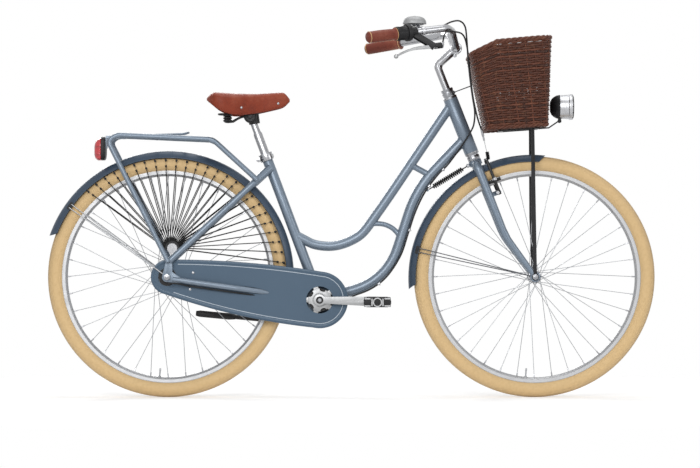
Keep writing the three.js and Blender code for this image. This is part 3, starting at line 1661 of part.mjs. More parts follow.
// Saddle cover: sections along its length, each a crowned top with drawn-in skirts
function saddleRing(share, shrink) {
  const widthShares = [
    [0, 0.72], [0.08, 0.94], [0.2, 1], [0.35, 0.86], [0.5, 0.55], [0.65, 0.33], [0.85, 0.24], [1, 0.17],
  ];
  const topShares = [[0, -0.14], [0.06, 0], [0.3, -0.02], [0.6, -0.03], [0.85, 0], [0.95, -0.05], [1, -0.2]];
  const skirtShares = [
    [0, 0.45], [0.1, 0.7], [0.3, 0.98], [0.45, 1], [0.65, 0.94], [0.85, 0.8], [0.95, 0.6], [1, 0.5],
  ];
  const look = (table) => {
    const next = table.findIndex(([place]) => place >= share);
    if (next <= 0) return table[0][1];
    const [a, b] = [table[next - 1], table[next]];
    return a[1] + ((b[1] - a[1]) * (share - a[0])) / (b[0] - a[0]);
  };
  const half = saddleRearHalfWidth * look(widthShares) - shrink;
  const top = saddleTop + saddleSkirtDepth * look(topShares) - shrink;
  const bottom = saddleTop - saddleSkirtDepth * look(skirtShares) - (shrink > 0 ? overrun * 2 : 0);
  const x = saddleRear.x + saddleLength * share;
  const shrinkEnd = share < 0.01 ? shrink : share > 0.99 ? -shrink : 0;
  const points = [];
  const acrossShares = [1, 0.96, 0.8, 0.5, 0];
  const downShares = [1, 0.42, 0.16, 0.03, 0];
  const edgeShare = 0.93;
  const edgePoint = (side, i) => vec(
    x + shrinkEnd,
    side * half * acrossShares[i] * (i === 0 ? edgeShare : 1),
    top - (top - bottom) * downShares[i],
  );
  for (let i = 0; i < acrossShares.length; i += 1) points.push(edgePoint(1, i));
  for (let i = acrossShares.length - 2; i >= 0; i -= 1) points.push(edgePoint(-1, i));
  return points;
}

function buildSaddleCover() {
  const shares = [0, 0.05, 0.12, 0.2, 0.3, 0.4, 0.5, 0.6, 0.72, 0.85, 0.94, 1];
  const innerShares = shares.filter((share, i) => i % 2 === 0 || i === shares.length - 1);
  const outer = loft(shares.map((share) => saddleRing(share, 0)));
  const inner = loft(innerShares.map((share) => saddleRing(share, saddleShell)));
  add('saddle_cover', cut(outer, inner), brownLeather);
}

// Seat collar with a quick-release: the bolt passes behind the post, the lever curls round the left side
function buildSeatCollar() {
  const base = seatTubeLength - collarHeight;
  const middle = seatTubeLength - collarHeight / 2;
  const back = vec(-seatUp.z, 0, seatUp.x);
  const lugAt = (y) => along(along(onSeatTube(middle), back, collarRadius + collarLugOut), axisY, y);
  const ring = turned(
    [
      [seatTubeRadius + gap, 0],
      [collarRadius, 0],
      [collarRadius, collarHeight],
      [seatTubeRadius + gap, collarHeight],
    ],
    onSeatTube(base),
    seatUp,
    14,
  );
  const lug = rod(lugAt(-collarLug), lugAt(collarLug), leverNutRadius, boreFacets);
  const bolt = rod(lugAt(-collarLug * 2), lugAt(collarLug * 2), leverBoltRadius + gap, boreFacets);
  const clearTube = rod(
    onSeatTube(base - overrun),
    onSeatTube(seatTubeLength + overrun),
    seatTubeRadius + gap,
    14,
  );
  add('seat_clamp_collar', cut(joined(ring, cut(lug, clearTube)), bolt), silver);

  const face = collarLug + gap;
  const pivot = lugAt(face);
  const forward = back.clone().multiplyScalar(-1);
  const leverEnd = along(along(pivot, forward, leverLength), axisY, leverSweep + leverNutHeight);
  const leverStart = lugAt(face + leverKnobLength - leverNutBite);
  const lever = joined(
    rod(lugAt(-collarLug - gap - leverNutHeight), lugAt(-collarLug - gap), leverNutRadius, boreFacets),
    rod(lugAt(-collarLug - gap - leverNutBite), lugAt(face + leverNutBite), leverBoltRadius, boreFacets),
    rod(pivot, lugAt(face + leverKnobLength), leverNutRadius, boreFacets),
    bar(leverStart, leverEnd, axisY, roundedOutline(leverThickness / 2, leverHalfWidth, leverCorner, 1)),
  );
  add('seat_clamp_lever', lever, silver);
}

// Fork: two raked legs that curve out of the steerer
function forkLegRoute(side) {
  return bentRoute(
    [
      onSteerer(forkLength - forkArchDrop, 0, 0),
      onSteerer(forkLength - forkArchDrop - 1, 0, side * forkTopSpread),
      onSteerer(forkBendHeight, 0, side * (forkTopSpread + forkTipSpread) / 2),
      along(frontAxle, axisY, side * forkTipSpread),
    ],
    [forkArchBend, forkBend],
    30,
  );
}
function forkLegRadius(share) {
  if (share < forkFullShare) {
    return forkArchRadius + ((forkLegTopRadius - forkArchRadius) * share) / forkFullShare;
  }
  const run = (share - forkFullShare) / (1 - forkFullShare);
  return forkLegTopRadius + (forkLegTipRadius - forkLegTopRadius) * run;
}
const forkLegSolid = (side) => taperedTube(forkLegRoute(side), forkLegRadius, 10);

const brakePivot = (side) => onSteerer(brakePivotHeight, brakeBossAhead, side * forkTopSpread);
function buildFork() {
  const steererTop = headsetTop - 2 * gap;
  const steerer = rod(
    onSteerer(forkLength - forkCrownHeight),
    onSteerer(steererTop),
    steererRadius,
    hubFacets,
  );
  const crown = rod(onSteerer(forkLength - forkCrownHeight), onSteerer(forkLength), headsetRadius, 14);
  const bore = rod(
    onSteerer(headsetTop - quillInsertion - overrun),
    onSteerer(headsetTop + overrun),
    quillRadius + gap,
    14,
  );
  const damperEye = joined(
    rod(
      along(damperHigh, axisY, -damperLugRadius),
      along(damperHigh, axisY, damperLugRadius),
      damperLugRadius,
      8,
    ),
    rod(onSteerer(forkLength - forkCrownHeight / 2), damperHigh, damperLugRadius * 0.8, 8),
  );
  const pieces = [crown, cut(steerer, bore), damperEye];
  const endFace = forkEndThickness / 2;
  const cheeks = [];
  for (const side of [-1, 1]) {
    pieces.push(forkLegSolid(side));
    pieces.push(rod(
      along(frontAxle, axisY, side * (forkTipSpread - endFace)),
      along(frontAxle, axisY, side * (forkTipSpread + endFace)),
      forkEndRadius,
      12,
    ));
    const boss = brakePivot(side);
    pieces.push(rod(along(boss, steerAhead, -brakeBossAhead), boss, brakeBossRadius, 8));
    const pinEnd = along(boss, steerAhead, brakeArmThickness + 2 * gap + brakePinEnd);
    pieces.push(rod(boss, pinEnd, brakePinRadius, 8));
    const faces = [
      [forkTipSpread - endFace, frontHubEndSpan / 2 - endFace],
      [forkTipSpread + endFace, forkTipSpread + 4 * endFace],
    ];
    for (const [from, to] of faces) {
      cheeks.push(rod(
        along(frontAxle, axisY, side * from),
        along(frontAxle, axisY, side * to),
        forkEndRadius * 1.7,
        10,
      ));
    }
  }
  const hole = rod(
    along(frontAxle, axisY, -forkTipSpread * 2),
    along(frontAxle, axisY, forkTipSpread * 2),
    axleRadius + gap,
    boreFacets,
  );
  add('fork', cut(joined(pieces), hole, cheeks), frameBlue);
  buildDamper();
  buildFrontBrake();
}

// Steering damper: a long spring between the lower tube and the fork crown
function buildDamper() {
  const run = damperHigh.clone().sub(damperLow);
  const direction = run.clone().normalize();
  const from = along(damperLow, direction, damperLugRadius + gap / 2);
  const to = along(damperHigh, direction, -damperLugRadius - gap / 2);
  const length = from.distanceTo(to) - 2 * damperHookLength;
  const stations = coilStations(
    along(from, direction, damperHookLength),
    direction,
    damperRadius,
    damperTurns,
    length,
  );
  console.log('least gap in the damper spring', leastGap(stations, damperWire).toFixed(2), 'mm');
  const route = new Route([from, along(from, direction, damperHookLength * 0.8), ...stations,
    along(to, direction, -damperHookLength * 0.8), to]);
  add('steering_damper_spring', tube(route, damperWire, 5), blackSteel);
}

// Direct-pull brake: two arms on bosses ahead of the fork, each with its pad beside the rim
function buildFrontBrake() {
  for (const [side, name] of [[-1, 'right'], [1, 'left']]) {
    const pivot = along(brakePivot(side), steerAhead, gap + brakeArmThickness / 2);
    const at = (up, left) => along(along(pivot, steerUp, up), axisY, side * left);
    const padHeight = (rimOuterRadius + rimInnerRadius) / 2 - brakePivotHeight;
    const route = new Route([
      at(-brakeArmWidth / 2, brakeArmSpreads[0]),
      at(brakeArmLength * 0.3, brakeArmSpreads[1]),
      at(brakeArmLength * 0.7, brakeArmSpreads[2]),
      at(brakeArmLength, brakeArmSpreads[3]),
    ]);
    const outline = (share) => roundedOutline(
      brakeArmThickness / 2, (brakeArmWidth / 2) * (1 - 0.45 * share), 2, 1);
    const arm = strap(route, steerAhead, outline);
    const hole = rod(
      along(pivot, steerAhead, -brakeArmThickness),
      along(pivot, steerAhead, brakeArmThickness),
      brakePinRadius + gap,
      8,
    );
    const padInner = rimWidth / 2 + brakePadGap;
    const padMiddle = vec(0, side * (padInner + brakePadDepth / 2), 0);
    const padCentre = at(padHeight, 0);
    padCentre.y = padMiddle.y;
    const pad = bar(
      along(padCentre, steerAhead, -brakePadLength * 0.6),
      along(padCentre, steerAhead, brakePadLength * 0.4),
      axisY,
      squareOutline(brakePadDepth / 2, brakePadHeight / 2),
    );
    const post = rod(padCentre, at(padHeight, brakeArmSpreads[2]), brakePostRadius, 8);
    add(`brake_arm_${name}`, joined(cut(arm, hole), pad, post), blackSteel);
  }
}

// Stem and handlebar
const stemElbow = onSteerer(headsetTop + stemRise);
const barCentre = vec(stemElbow.x + stemReach, 0, stemElbow.z + stemClimb);
const barHeading = (side) => vec(
  -Math.cos(radians(barSplay)) * Math.cos(radians(barDroop)),
  side * Math.sin(radians(barSplay)) * Math.cos(radians(barDroop)),
  -Math.sin(radians(barDroop)),
);
const barCorner = (side) => vec(
  barCentre.x - barCornerBack,
  side * barCornerSpan,
  barCentre.z + barCornerRise,
);
const barOut = (side) => vec(Math.sin(radians(barSplay)), side * Math.cos(radians(barSplay)), 0);
const onBar = (side, distance, out = 0, down = 0) =>
  along(along(along(barCorner(side), barHeading(side), distance), barOut(side), out), axisZ, -down);

function buildStemAndBar() {
  const quillBottom = onSteerer(headsetTop - quillInsertion);
  const neck = bentRoute([quillBottom, stemElbow, barCentre], stemBend, 16);
  const clampHalf = stemClampWidth / 2;
  const clamp = rod(
    along(barCentre, axisY, -clampHalf),
    along(barCentre, axisY, clampHalf),
    stemClampRadius,
    12,
  );
  const bore = rod(
    along(barCentre, axisY, -stemClampWidth),
    along(barCentre, axisY, stemClampWidth),
    barSleeveRadius + gap,
    12,
  );
  const boltAt = (y) => vec(barCentre.x - stemBoltBack, y, barCentre.z - stemClampRadius - stemBoltDrop);
  const bolt = rod(boltAt(-clampHalf * 0.6), boltAt(clampHalf * 0.6), stemBoltRadius, 10);
  const neckRadius = (share) => quillRadius + (stemNeckRadius - quillRadius) * share ** 4;
  add('stem', cut(joined(taperedTube(neck, neckRadius, 10), clamp, bolt), bore), silver);

  const half = (side) => [
    vec(barCentre.x, side * barRiserSpan, barCentre.z),
    vec(barCentre.x - barShoulderBack, side * barShoulderSpan, barCentre.z + barShoulderRise),
    barCorner(side),
    onBar(side, barRun),
  ];
  const route = bentRoute([...half(-1).reverse(), ...half(1)], barBend, 30);
  const sleeve = rod(
    along(barCentre, axisY, -barSleeveWidth / 2),
    along(barCentre, axisY, barSleeveWidth / 2),
    barSleeveRadius,
    12,
  );
  add('handlebar', joined(tube(route, barRadius, 8), sleeve), silver);
}

function grip(side, length) {
  const bore = barRadius + gap;
  const end = length + gripWall;
  return turned(
    [
      [bore, 0],
      [gripFlangeRadius, 0],
      [gripFlangeRadius, gripFlangeWidth],
      [gripRadius * 0.95, gripFlangeWidth * 1.6],
      [gripRadius * 1.03, length * 0.9],
      [gripRadius * 0.8, end],
      [0, end],
      [0, length + gap],
      [bore, length + gap],
    ],
    onBar(side, barRun - length),
    barHeading(side),
    14,
  );
}

const shifterStart = barRun - rightGripLength - gap - shifterLength;
const housingStart = shifterStart - gap - shifterHousingLength;
const leverClampStart = housingStart - gap - leverClampLength;
function buildControls() {
  add('grip_right', grip(-1, rightGripLength), brownLeather);
  add('grip_left', grip(1, leftGripLength), brownLeather);
  const bore = barRadius + gap;
  const heading = barHeading(-1);
  add('twist_shifter', turned(
    [
      [bore, 0], [shifterRadius * 1.05, 0], [shifterRadius * 0.9, shifterLength * 0.5],
      [shifterRadius, shifterLength], [bore, shifterLength],
    ],
    onBar(-1, shifterStart),
    heading,
    14,
  ), blackPlastic);
  buildBrakeLever();
  buildBell();
}

const leverPivot = onBar(-1, leverPivotAlong, leverPivotOut, leverPivotDown);
function buildBrakeLever() {
  const heading = barHeading(-1);
  const bore = barRadius + gap;
  const ring = turned(
    [
      [bore, 0], [leverClampRadius, 0], [leverClampRadius, leverClampLength],
      [shifterHousingRadius, leverClampLength + shifterHousingLength * 0.3],
      [shifterHousingRadius, leverClampLength + shifterHousingLength],
      [bore, leverClampLength + shifterHousingLength],
    ],
    onBar(-1, leverClampStart),
    heading,
    14,
  );
  const clampMiddle = onBar(-1, leverClampStart + leverClampLength / 2);
  const barPoint = onBar(-1, leverPivotAlong);
  const offset = leverPivot.clone().sub(barPoint).normalize();
  const side = offset.clone().cross(heading).normalize();
  const cheek = leverBladeThickness / 2 + gap;
  const bodyHalf = cheek + leverCheekWall;
  const body = bar(
    along(clampMiddle, offset, barRadius),
    along(leverPivot, offset, leverCheekWall),
    side,
    roundedOutline(bodyHalf, leverBodyWidth / 2, leverCheekCorner, 1),
  );
  const nose = bar(
    leverPivot,
    along(leverPivot, heading, -leverNoseLength),
    side,
    roundedOutline(bodyHalf, leverBodyWidth * 0.36, leverCheekCorner, 1),
  );
  const corner = (ahead, out) => new THREE.Vector2(ahead, out);
  const slot = bar(
    along(leverPivot, side, -cheek),
    along(leverPivot, side, cheek),
    heading,
    [
      corner(-leverSlotBack, -leverSlotIn), corner(leverBladeLength, -leverSlotIn),
      corner(leverBladeLength, leverSlotOut), corner(-leverSlotBack, leverSlotOut),
    ],
  );
  const clearBar = rod(onBar(-1, 0), onBar(-1, barRun), bore, 14);
  const pin = rod(
    along(leverPivot, side, -bodyHalf), along(leverPivot, side, bodyHalf), leverPinRadius, 8);
  add('brake_lever_body', joined(cut(joined(ring, body, nose), clearBar, slot), pin), blackPlastic);

  const tip = along(along(leverPivot, heading, leverBladeLength), offset, leverTipSweep);
  const bend = along(along(leverPivot, heading, leverBladeLength * 0.35), offset, leverTipSweep * 0.7);
  const start = along(leverPivot, heading, -leverBladeWidth * 0.4);
  const blade = strap(
    bentRoute([start, bend, tip], 60, 12),
    side,
    (share) => roundedOutline(leverBladeThickness / 2, (leverBladeWidth / 2) * (1 - 0.3 * share), 2, 1),
  );
  const pinHole = rod(
    along(leverPivot, side, -bodyHalf * 2), along(leverPivot, side, bodyHalf * 2), leverPinRadius + gap, 8);
  add('brake_lever_blade', cut(joined(blade, bead(tip, leverBladeEnd)), pinHole), silver);
}

// Bell: a clamp on the bar, a striker base and a dome
const bellFoot = onBar(-1, bellAlong, -bellInboard, -bellLift);
function buildBell() {
  const dome = [];
  const steps = 3;
  for (let i = 0; i <= steps; i += 1) {
    const turn = radians((90 * i) / steps);
    dome.push([i === steps ? 0 : bellRadius * Math.cos(turn), bellHeight * Math.sin(turn)]);
  }
  const inner = dome.map(([r, z]) => [
    r * (1 - bellWall / bellRadius),
    z * (1 - bellWall / bellHeight),
  ]).reverse();
  const shell = turned([...dome, ...inner], bellFoot, axisZ, 12);
  const heading = barHeading(-1);
  const ringCentre = onBar(-1, bellAlong - bellStrapWidth / 2);
  const ring = cut(
    rod(ringCentre, along(ringCentre, heading, bellStrapWidth), barRadius + gap + bellStrapWall, 12),
    rod(onBar(-1, 0), onBar(-1, barRun), barRadius + gap, 14),
  );
  const base = along(bellFoot, axisZ, -bellWall);
  const post = rod(base, along(bellFoot, axisZ, bellHeight - bellWall / 2), bellPostRadius, 8);
  const deck = rod(base, along(base, axisZ, bellDeckThickness), bellRadius * 0.5, 12);
  const arm = bar(
    along(onBar(-1, bellAlong, -barRadius - bellStrapWall), axisZ, bellDeckThickness),
    along(base, axisZ, bellDeckThickness / 2),
    heading,
    squareOutline(bellStrapWidth / 2, bellDeckThickness),
  );
  const barClear = rod(onBar(-1, 0), onBar(-1, barRun), barRadius + gap, 14);
  add('bell', joined(shell, ring, post, deck, cut(arm, barClear)), silver);

  // Thumb lever, pivoted under the deck
  const pivot = along(base, heading, bellRadius * 0.3);
  pivot.z = base.z - gap;
  const leverTip = along(pivot, heading, bellLeverLength);
  add('bell_lever', joined(
    rod(along(pivot, axisZ, -bellLeverThickness), pivot, bellPostRadius, 10),
    bar(
      along(pivot, axisZ, -bellLeverThickness / 2), along(leverTip, axisZ, -bellLeverThickness / 2), axisZ,
      squareOutline(bellLeverThickness / 2, bellPostRadius * 0.9)),
  ), blackPlastic);
}

// Basket
function basketRing(xBack, length, halfWidth, corner, heightAt) {
  return roundedOutline(length / 2, halfWidth, corner, 3).map((p) => {
    const x = frontAxle.x - xBack + length / 2 + p.x;
    return vec(x, p.y, heightAt(x));
  });
}

function basketSolid(inset, floorLift, topLift, bandCount = 0) {
  const floor = (x) => basketBottomHeight + floorLift
    + (x - frontAxle.x + basketBottomBack) * Math.tan(radians(basketFloorSlope));
  const rim = (x) => basketBottomHeight + basketHeight + topLift
    + (x - frontAxle.x + basketBack) * Math.tan(radians(basketRimSlope));
  const foot = (depth) => basketRing(
    basketBottomBack - depth,
    basketBottomLength - 2 * depth,
    basketBottomHalfWidth - depth,
    basketCorner * basketFootCornerShare - depth,
    floor,
  );
  const top = (depth) => basketRing(
    basketBack - depth,
    basketTopLength - 2 * depth,
    basketTopHalfWidth - depth,
    basketCorner - depth,
    rim,
  );
  if (bandCount === 0) return loft([foot(inset), top(inset)]);
  const rings = [];
  for (let i = 0; i <= 2 * bandCount; i += 1) {
    const depth = inset + (i % 2) * basketBandDepth;
    const upper = top(depth);
    rings.push(foot(depth).map((point, k) => between(point, upper[k], i / (2 * bandCount))));
  }
  return loft(rings);
}

function buildBasket() {
  const dipTop = basketBottomHeight + basketHeight * 1.5;
  const backX = frontAxle.x - basketBack;
  const rimBack = basketBottomHeight + basketHeight;
  const dip = new THREE.Shape([
    new THREE.Vector2(backX - basketWall * 2, rimBack - basketDip * 1.2),
    new THREE.Vector2(
      backX + basketDipLength,
      rimBack + basketDipLength * Math.tan(radians(basketRimSlope)),
    ),
    new THREE.Vector2(backX + basketDipLength, dipTop),
    new THREE.Vector2(backX - basketWall * 2, dipTop),
  ]);
  add('basket', cut(
    basketSolid(0, 0, 0, basketBandCount),
    basketSolid(basketWall, basketWall, overrun),
    plate(dip, -basketTopHalfWidth * 1.2, basketTopHalfWidth * 1.2),
  ), darkWicker);
}

const trayHeight = (x) =>
  basketBottomHeight - gap + (x - frontAxle.x + basketBottomBack) * Math.tan(radians(basketFloorSlope));
function buildSupport() {
  const barX = frontAxle.x - supportBack;
  const trayFrom = barX - supportTrayLength + supportTrayNose;
  const trayTo = barX + supportTrayNose;
  const tray = (from, to) => [
    new THREE.Vector2(from, trayHeight(from)),
    new THREE.Vector2(to, trayHeight(to)),
    new THREE.Vector2(to, trayHeight(to) - supportTrayThickness),
    new THREE.Vector2(from, trayHeight(from) - supportTrayThickness),
  ];
  const half = supportBarThickness / 2;
  const outline = squareOutline(half, supportBarWidth / 2);
  const pieces = [
    plate(tray(trayFrom, trayFrom + supportStrapWidth), -supportSpread, supportSpread),
    plate(tray(trayTo - supportStrapWidth, trayTo), -supportSpread, supportSpread),
  ];
  for (const side of [-1, 1]) {
    const y = side * supportSpread;
    const upper = vec(barX, y, trayHeight(barX) - supportTrayThickness / 2);
    const knee = vec(barX, y, frontAxle.z + supportKneeHeight);
    const lower = vec(frontAxle.x, y, frontAxle.z);
    pieces.push(bar(upper, knee, axisY, outline));
    pieces.push(bar(along(knee, axisZ, supportBarWidth / 4), lower, axisY, outline));
    pieces.push(rod(
      vec(lower.x, y - half, lower.z),
      vec(lower.x, y + half, lower.z),
      axleRadius + stayEyeWall,
      boreFacets,
    ));
    pieces.push(plate(tray(trayFrom, trayTo), y - supportStrapWidth / 2, y + supportStrapWidth / 2));
  }
  const lamp = vec(frontAxle.x + lightForward - lightBodyLength, 0, lightHeight);
  const lug = vec(lamp.x, 0, lamp.z - lightRadius - lightLugRadius);
  const foot = trayTo - supportStrapWidth / 2;
  const underBasket = (x) => vec(x, 0, trayHeight(x) - supportTrayThickness / 2);
  const basketFront = frontAxle.x - basketBottomBack + basketBottomLength + basketWall;
  const bracketRoute = new Route([
    underBasket(foot), underBasket(basketFront), along(lug, axisX, -lightLugRadius / 2),
  ]);
  const bracketOutline = squareOutline(lightBracketWidth / 2, supportTrayThickness / 2);
  pieces.push(strap(bracketRoute, axisY, () => bracketOutline));
  const hole = rod(
    along(frontAxle, axisY, -supportSpread * 2),
    along(frontAxle, axisY, supportSpread * 2),
    axleRadius + gap,
    boreFacets,
  );
  const lugClear = rod(
    along(lug, axisY, -lightBracketWidth),
    along(lug, axisY, lightBracketWidth),
    clearBore(lightLugRadius, boreFacets),
    boreFacets,
  );
  add('basket_support', cut(joined(pieces), hole, lugClear), blackSteel);
  const total = lightDomeLength + lightBodyLength;
  const shell = turned(
    [
      [0, 0],
      [lightRadius * 0.45, 0],
      [lightRadius * 0.8, lightDomeLength * 0.4],
      [lightRadius * 0.97, lightDomeLength],
      [lightRadius, lightDomeLength + lightBodyLength * 0.7],
      [lightRadius * 1.06, lightDomeLength + lightBodyLength * 0.75], [lightRadius * 1.06, total],
      [lightRadius * 0.9, total + lightBodyLength * 0.1], [0, total + lightBodyLength * 0.14],
    ],
    vec(lamp.x - lightDomeLength, 0, lamp.z),
    axisX,
    12,
  );
  add('headlight', joined(
    shell,
    rod(
      along(lug, axisY, -lightBracketWidth / 2),
      along(lug, axisY, lightBracketWidth / 2),
      lightLugRadius,
      boreFacets,
    ),
    rod(lug, along(lamp, axisX, lightNeckInset), lightLugRadius * 0.8, 8),
  ), silver);
}

// Cables. The shift cable runs from the shifter past the head tube, under the lower tube and the right
// chainstay to the rear hub. The brake cable runs from the lever to the brake arms.
const offTube = (route, share, reach, sideways, turnDown) => {
  const run = route.at(Math.min(share + 0.02, 1)).sub(route.at(Math.max(share - 0.02, 0))).normalize();
  const down = vec(-run.z, 0, run.x).multiplyScalar(turnDown);
  return along(along(route.at(share), down, reach * Math.cos(sideways)), axisY, -reach * Math.sin(sideways));
};
const loopPoints = (shares, offsets) => shares.map((share, i) =>
  between(leverPivot, barCentre, share).add(vec(...offsets[i])));
const dropPoints = (points) => points.map(([height, ahead, left]) =>
  onSteerer(headTubeBase + height, ahead, left));
function shiftCableStations() {
  const reach = lowerTubeRadius + cableRadius + gap + cableRadius;
  const side = radians(cableSideAngle);
  const overhead = [
    onBar(-1, leverClampStart + leverClampLength * 0.4, -leverClampRadius - cableRadius - gap * 2, 0),
    onBar(-1, bellAlong, -bellInboard * 0.8, bellLift * 0.75),
    ...loopPoints(shiftLoopShares, shiftLoopOffsets),
    ...dropPoints(shiftDropPoints),
  ];
  const underTube = [0.12, 0.2, 0.3, 0.4, 0.5, 0.6, 0.7, 0.78, 0.86].map((share) =>
    offTube(lowerTubeRoute, share, reach, side, 1));
  const shell = bottomBracketRadius + cableRadius * 2;
  const spread = shellEnd * 0.62;
  const belowShell = [50, 0, -50].map((turn) => vec(
    bottomBracket.x + shell * Math.sin(radians(turn) * 0.5),
    -spread,
    bottomBracket.z - shell * Math.cos(radians(turn) * 0.5),
  ));
  const stay = chainstayRoute(-1);
  const underStay = [0.82, 0.7, 0.55, 0.4, 0.25, 0.12].map((share) => {
    const p = stay.at(share);
    return vec(p.x, p.y, p.z - chainstayRadius - cableRadius * 2);
  });
  const box = fromRearAxle(cableBoxForward, -cableBoxSpread, -dropoutRadius - cableBoxDrop);
  const falling = new THREE.CatmullRomCurve3([...overhead, ...underTube.slice(0, 2)]);
  const drop = falling.getPoints(overhead.length + 4);
  const outlet = vec(rearAxle.x + cableBoxLength, -cableBoxSpread, box.z);
  return [...drop, ...underTube.slice(2), ...belowShell, ...underStay, outlet, box];
}
const shiftCableRoute = new Route(shiftCableStations());

function buildCables() {
  const end = shiftCableRoute.stations[shiftCableRoute.steps];
  add('shift_cable', joined(
    tube(shiftCableRoute, cableRadius, 5),
    bar(
      along(end, axisX, -cableBoxLength / 2),
      along(end, axisX, cableBoxLength / 2),
      axisY,
      roundedOutline(cableBoxHalfHeight, cableBoxHalfWidth, cableBoxCorner, 1),
    ),
  ), blackPlastic);
  const outlet = along(leverPivot, barHeading(-1), -leverNoseLength - cableRadius - gap);
  const top = (side, drop) => along(
    along(brakePivot(side), steerUp, brakeArmLength + gap + cableRadius - drop),
    steerAhead,
    brakeArmThickness / 2,
  );
  const rightTop = top(-1, 0);
  const leftTop = top(1, 0);
  const lead = brakeLeadPoints.map(([up, ahead, left]) =>
    along(rightTop, steerUp, up).add(vec(ahead, left, 0)));
  const route = new THREE.CatmullRomCurve3([
    outlet,
    ...loopPoints(brakeLoopShares, brakeLoopOffsets),
    ...dropPoints(brakeDropPoints),
    ...lead,
    rightTop,
    between(rightTop, leftTop, 0.5),
    leftTop,
  ]);
  add('brake_cable', tube(new Route(route.getSpacedPoints(brakeCableSteps)), cableRadius, 5), blackPlastic);
}

buildFrameTubes();
buildHeadset();
buildStays();
buildRack();
buildTailLight();
buildMudguards();
buildSkirtGuards();
buildWheels();
buildSprocket();
buildChain();
buildChainCase();
buildCrankset();
buildPedals();
buildKickstand();
buildSeat();
buildFork();
buildStemAndBar();
buildControls();
buildBasket();
buildSupport();
buildCables();

export default object;
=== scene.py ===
"""A dutch city bike in a pale studio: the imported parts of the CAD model, dressed in their real finishes."""
import json
from math import asin, atan2, ceil, copysign, cos, degrees, dist, hypot, pi, radians, sin, sqrt, tan

import bmesh
import bpy
from mathutils import Matrix, Vector

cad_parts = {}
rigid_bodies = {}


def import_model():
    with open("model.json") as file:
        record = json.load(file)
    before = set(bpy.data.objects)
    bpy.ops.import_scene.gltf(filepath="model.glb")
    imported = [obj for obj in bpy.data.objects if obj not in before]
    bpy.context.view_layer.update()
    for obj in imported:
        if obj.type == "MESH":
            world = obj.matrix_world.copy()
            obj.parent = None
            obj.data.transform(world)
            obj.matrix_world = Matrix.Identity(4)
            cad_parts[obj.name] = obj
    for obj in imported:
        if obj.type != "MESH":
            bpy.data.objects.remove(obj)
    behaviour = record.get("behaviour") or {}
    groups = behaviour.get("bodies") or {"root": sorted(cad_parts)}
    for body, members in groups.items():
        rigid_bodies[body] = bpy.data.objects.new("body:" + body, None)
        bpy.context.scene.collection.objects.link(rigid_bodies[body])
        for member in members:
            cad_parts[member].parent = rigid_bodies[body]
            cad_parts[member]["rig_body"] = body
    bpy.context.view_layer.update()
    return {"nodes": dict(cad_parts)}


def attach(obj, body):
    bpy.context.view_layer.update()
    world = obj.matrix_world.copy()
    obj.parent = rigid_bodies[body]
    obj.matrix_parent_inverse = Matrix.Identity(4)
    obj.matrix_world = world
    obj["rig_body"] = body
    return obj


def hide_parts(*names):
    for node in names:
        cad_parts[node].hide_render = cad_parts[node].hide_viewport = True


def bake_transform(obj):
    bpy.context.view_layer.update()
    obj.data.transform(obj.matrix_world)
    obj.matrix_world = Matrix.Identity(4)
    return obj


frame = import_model()
PARTS = frame["nodes"]
METRES = 0.001  # every length below is in millimetres


# Vectors and turns
def at(x, y, z):
    return Vector((x, y, z))


def between(a, b, share):
    return a.lerp(b, share)


def polar(centre, reach, turn, y=0.0):
    """The point at a reach and a turn from a centre in the side view, moved y to the left."""
    return centre + at(reach * cos(turn), y, reach * sin(turn))


ACROSS, UP, AHEAD = at(0, 1, 0), at(0, 0, 1), at(1, 0, 0)
SIDES = ((-1, "right"), (1, "left"))


def turns_of(count, shift=0.0):
    """The angles of count points evenly round a circle."""
    return [2 * pi * (i + shift) / count for i in range(count)]


# Datum points, as in the CAD source
REAR_AXLE, FRONT_AXLE = at(-544.5, 0, 358), at(544.5, 0, 358)
BOTTOM_BRACKET = at(-93.5, 0, 290)
SEAT_UP = at(-cos(radians(69.4)), 0, sin(radians(69.4)))
STEER_UP = at(-cos(radians(68.5)), 0, sin(radians(68.5)))
STEER_AHEAD = at(STEER_UP.z, 0, -STEER_UP.x)
STEER_FOOT = FRONT_AXLE - STEER_AHEAD * 38.5


def on_steerer(height, ahead=0, left=0):
    """A point up the steering axis, moved square to it and to the left."""
    return STEER_FOOT + STEER_UP * height + STEER_AHEAD * ahead + ACROSS * left


def on_seat_tube(height):
    """A point up the seat tube from the bottom bracket."""
    return BOTTOM_BRACKET + SEAT_UP * height


def from_rear(forward, left, up):
    """A point given from the rear axle."""
    return REAR_AXLE + at(forward, left, up)


# The camera of the photograph: level and square to the wheels
CAMERA_AT = (-0.0039, -9.8, 0.4851)  # metres
PICTURE_WIDTH = 2.0832  # metres across the picture, in the bike's middle plane
SENSOR_WIDTH = 36  # millimetres


def place_camera():
    camera = bpy.data.cameras.new("side_camera")
    seat = bpy.data.objects.new("side_camera", camera)
    bpy.context.collection.objects.link(seat)
    seat.location = CAMERA_AT
    seat.rotation_euler = (pi / 2, 0, 0)
    camera.sensor_width = SENSOR_WIDTH
    camera.lens = SENSOR_WIDTH * -CAMERA_AT[1] / PICTURE_WIDTH
    bpy.context.scene.camera = seat


place_camera()


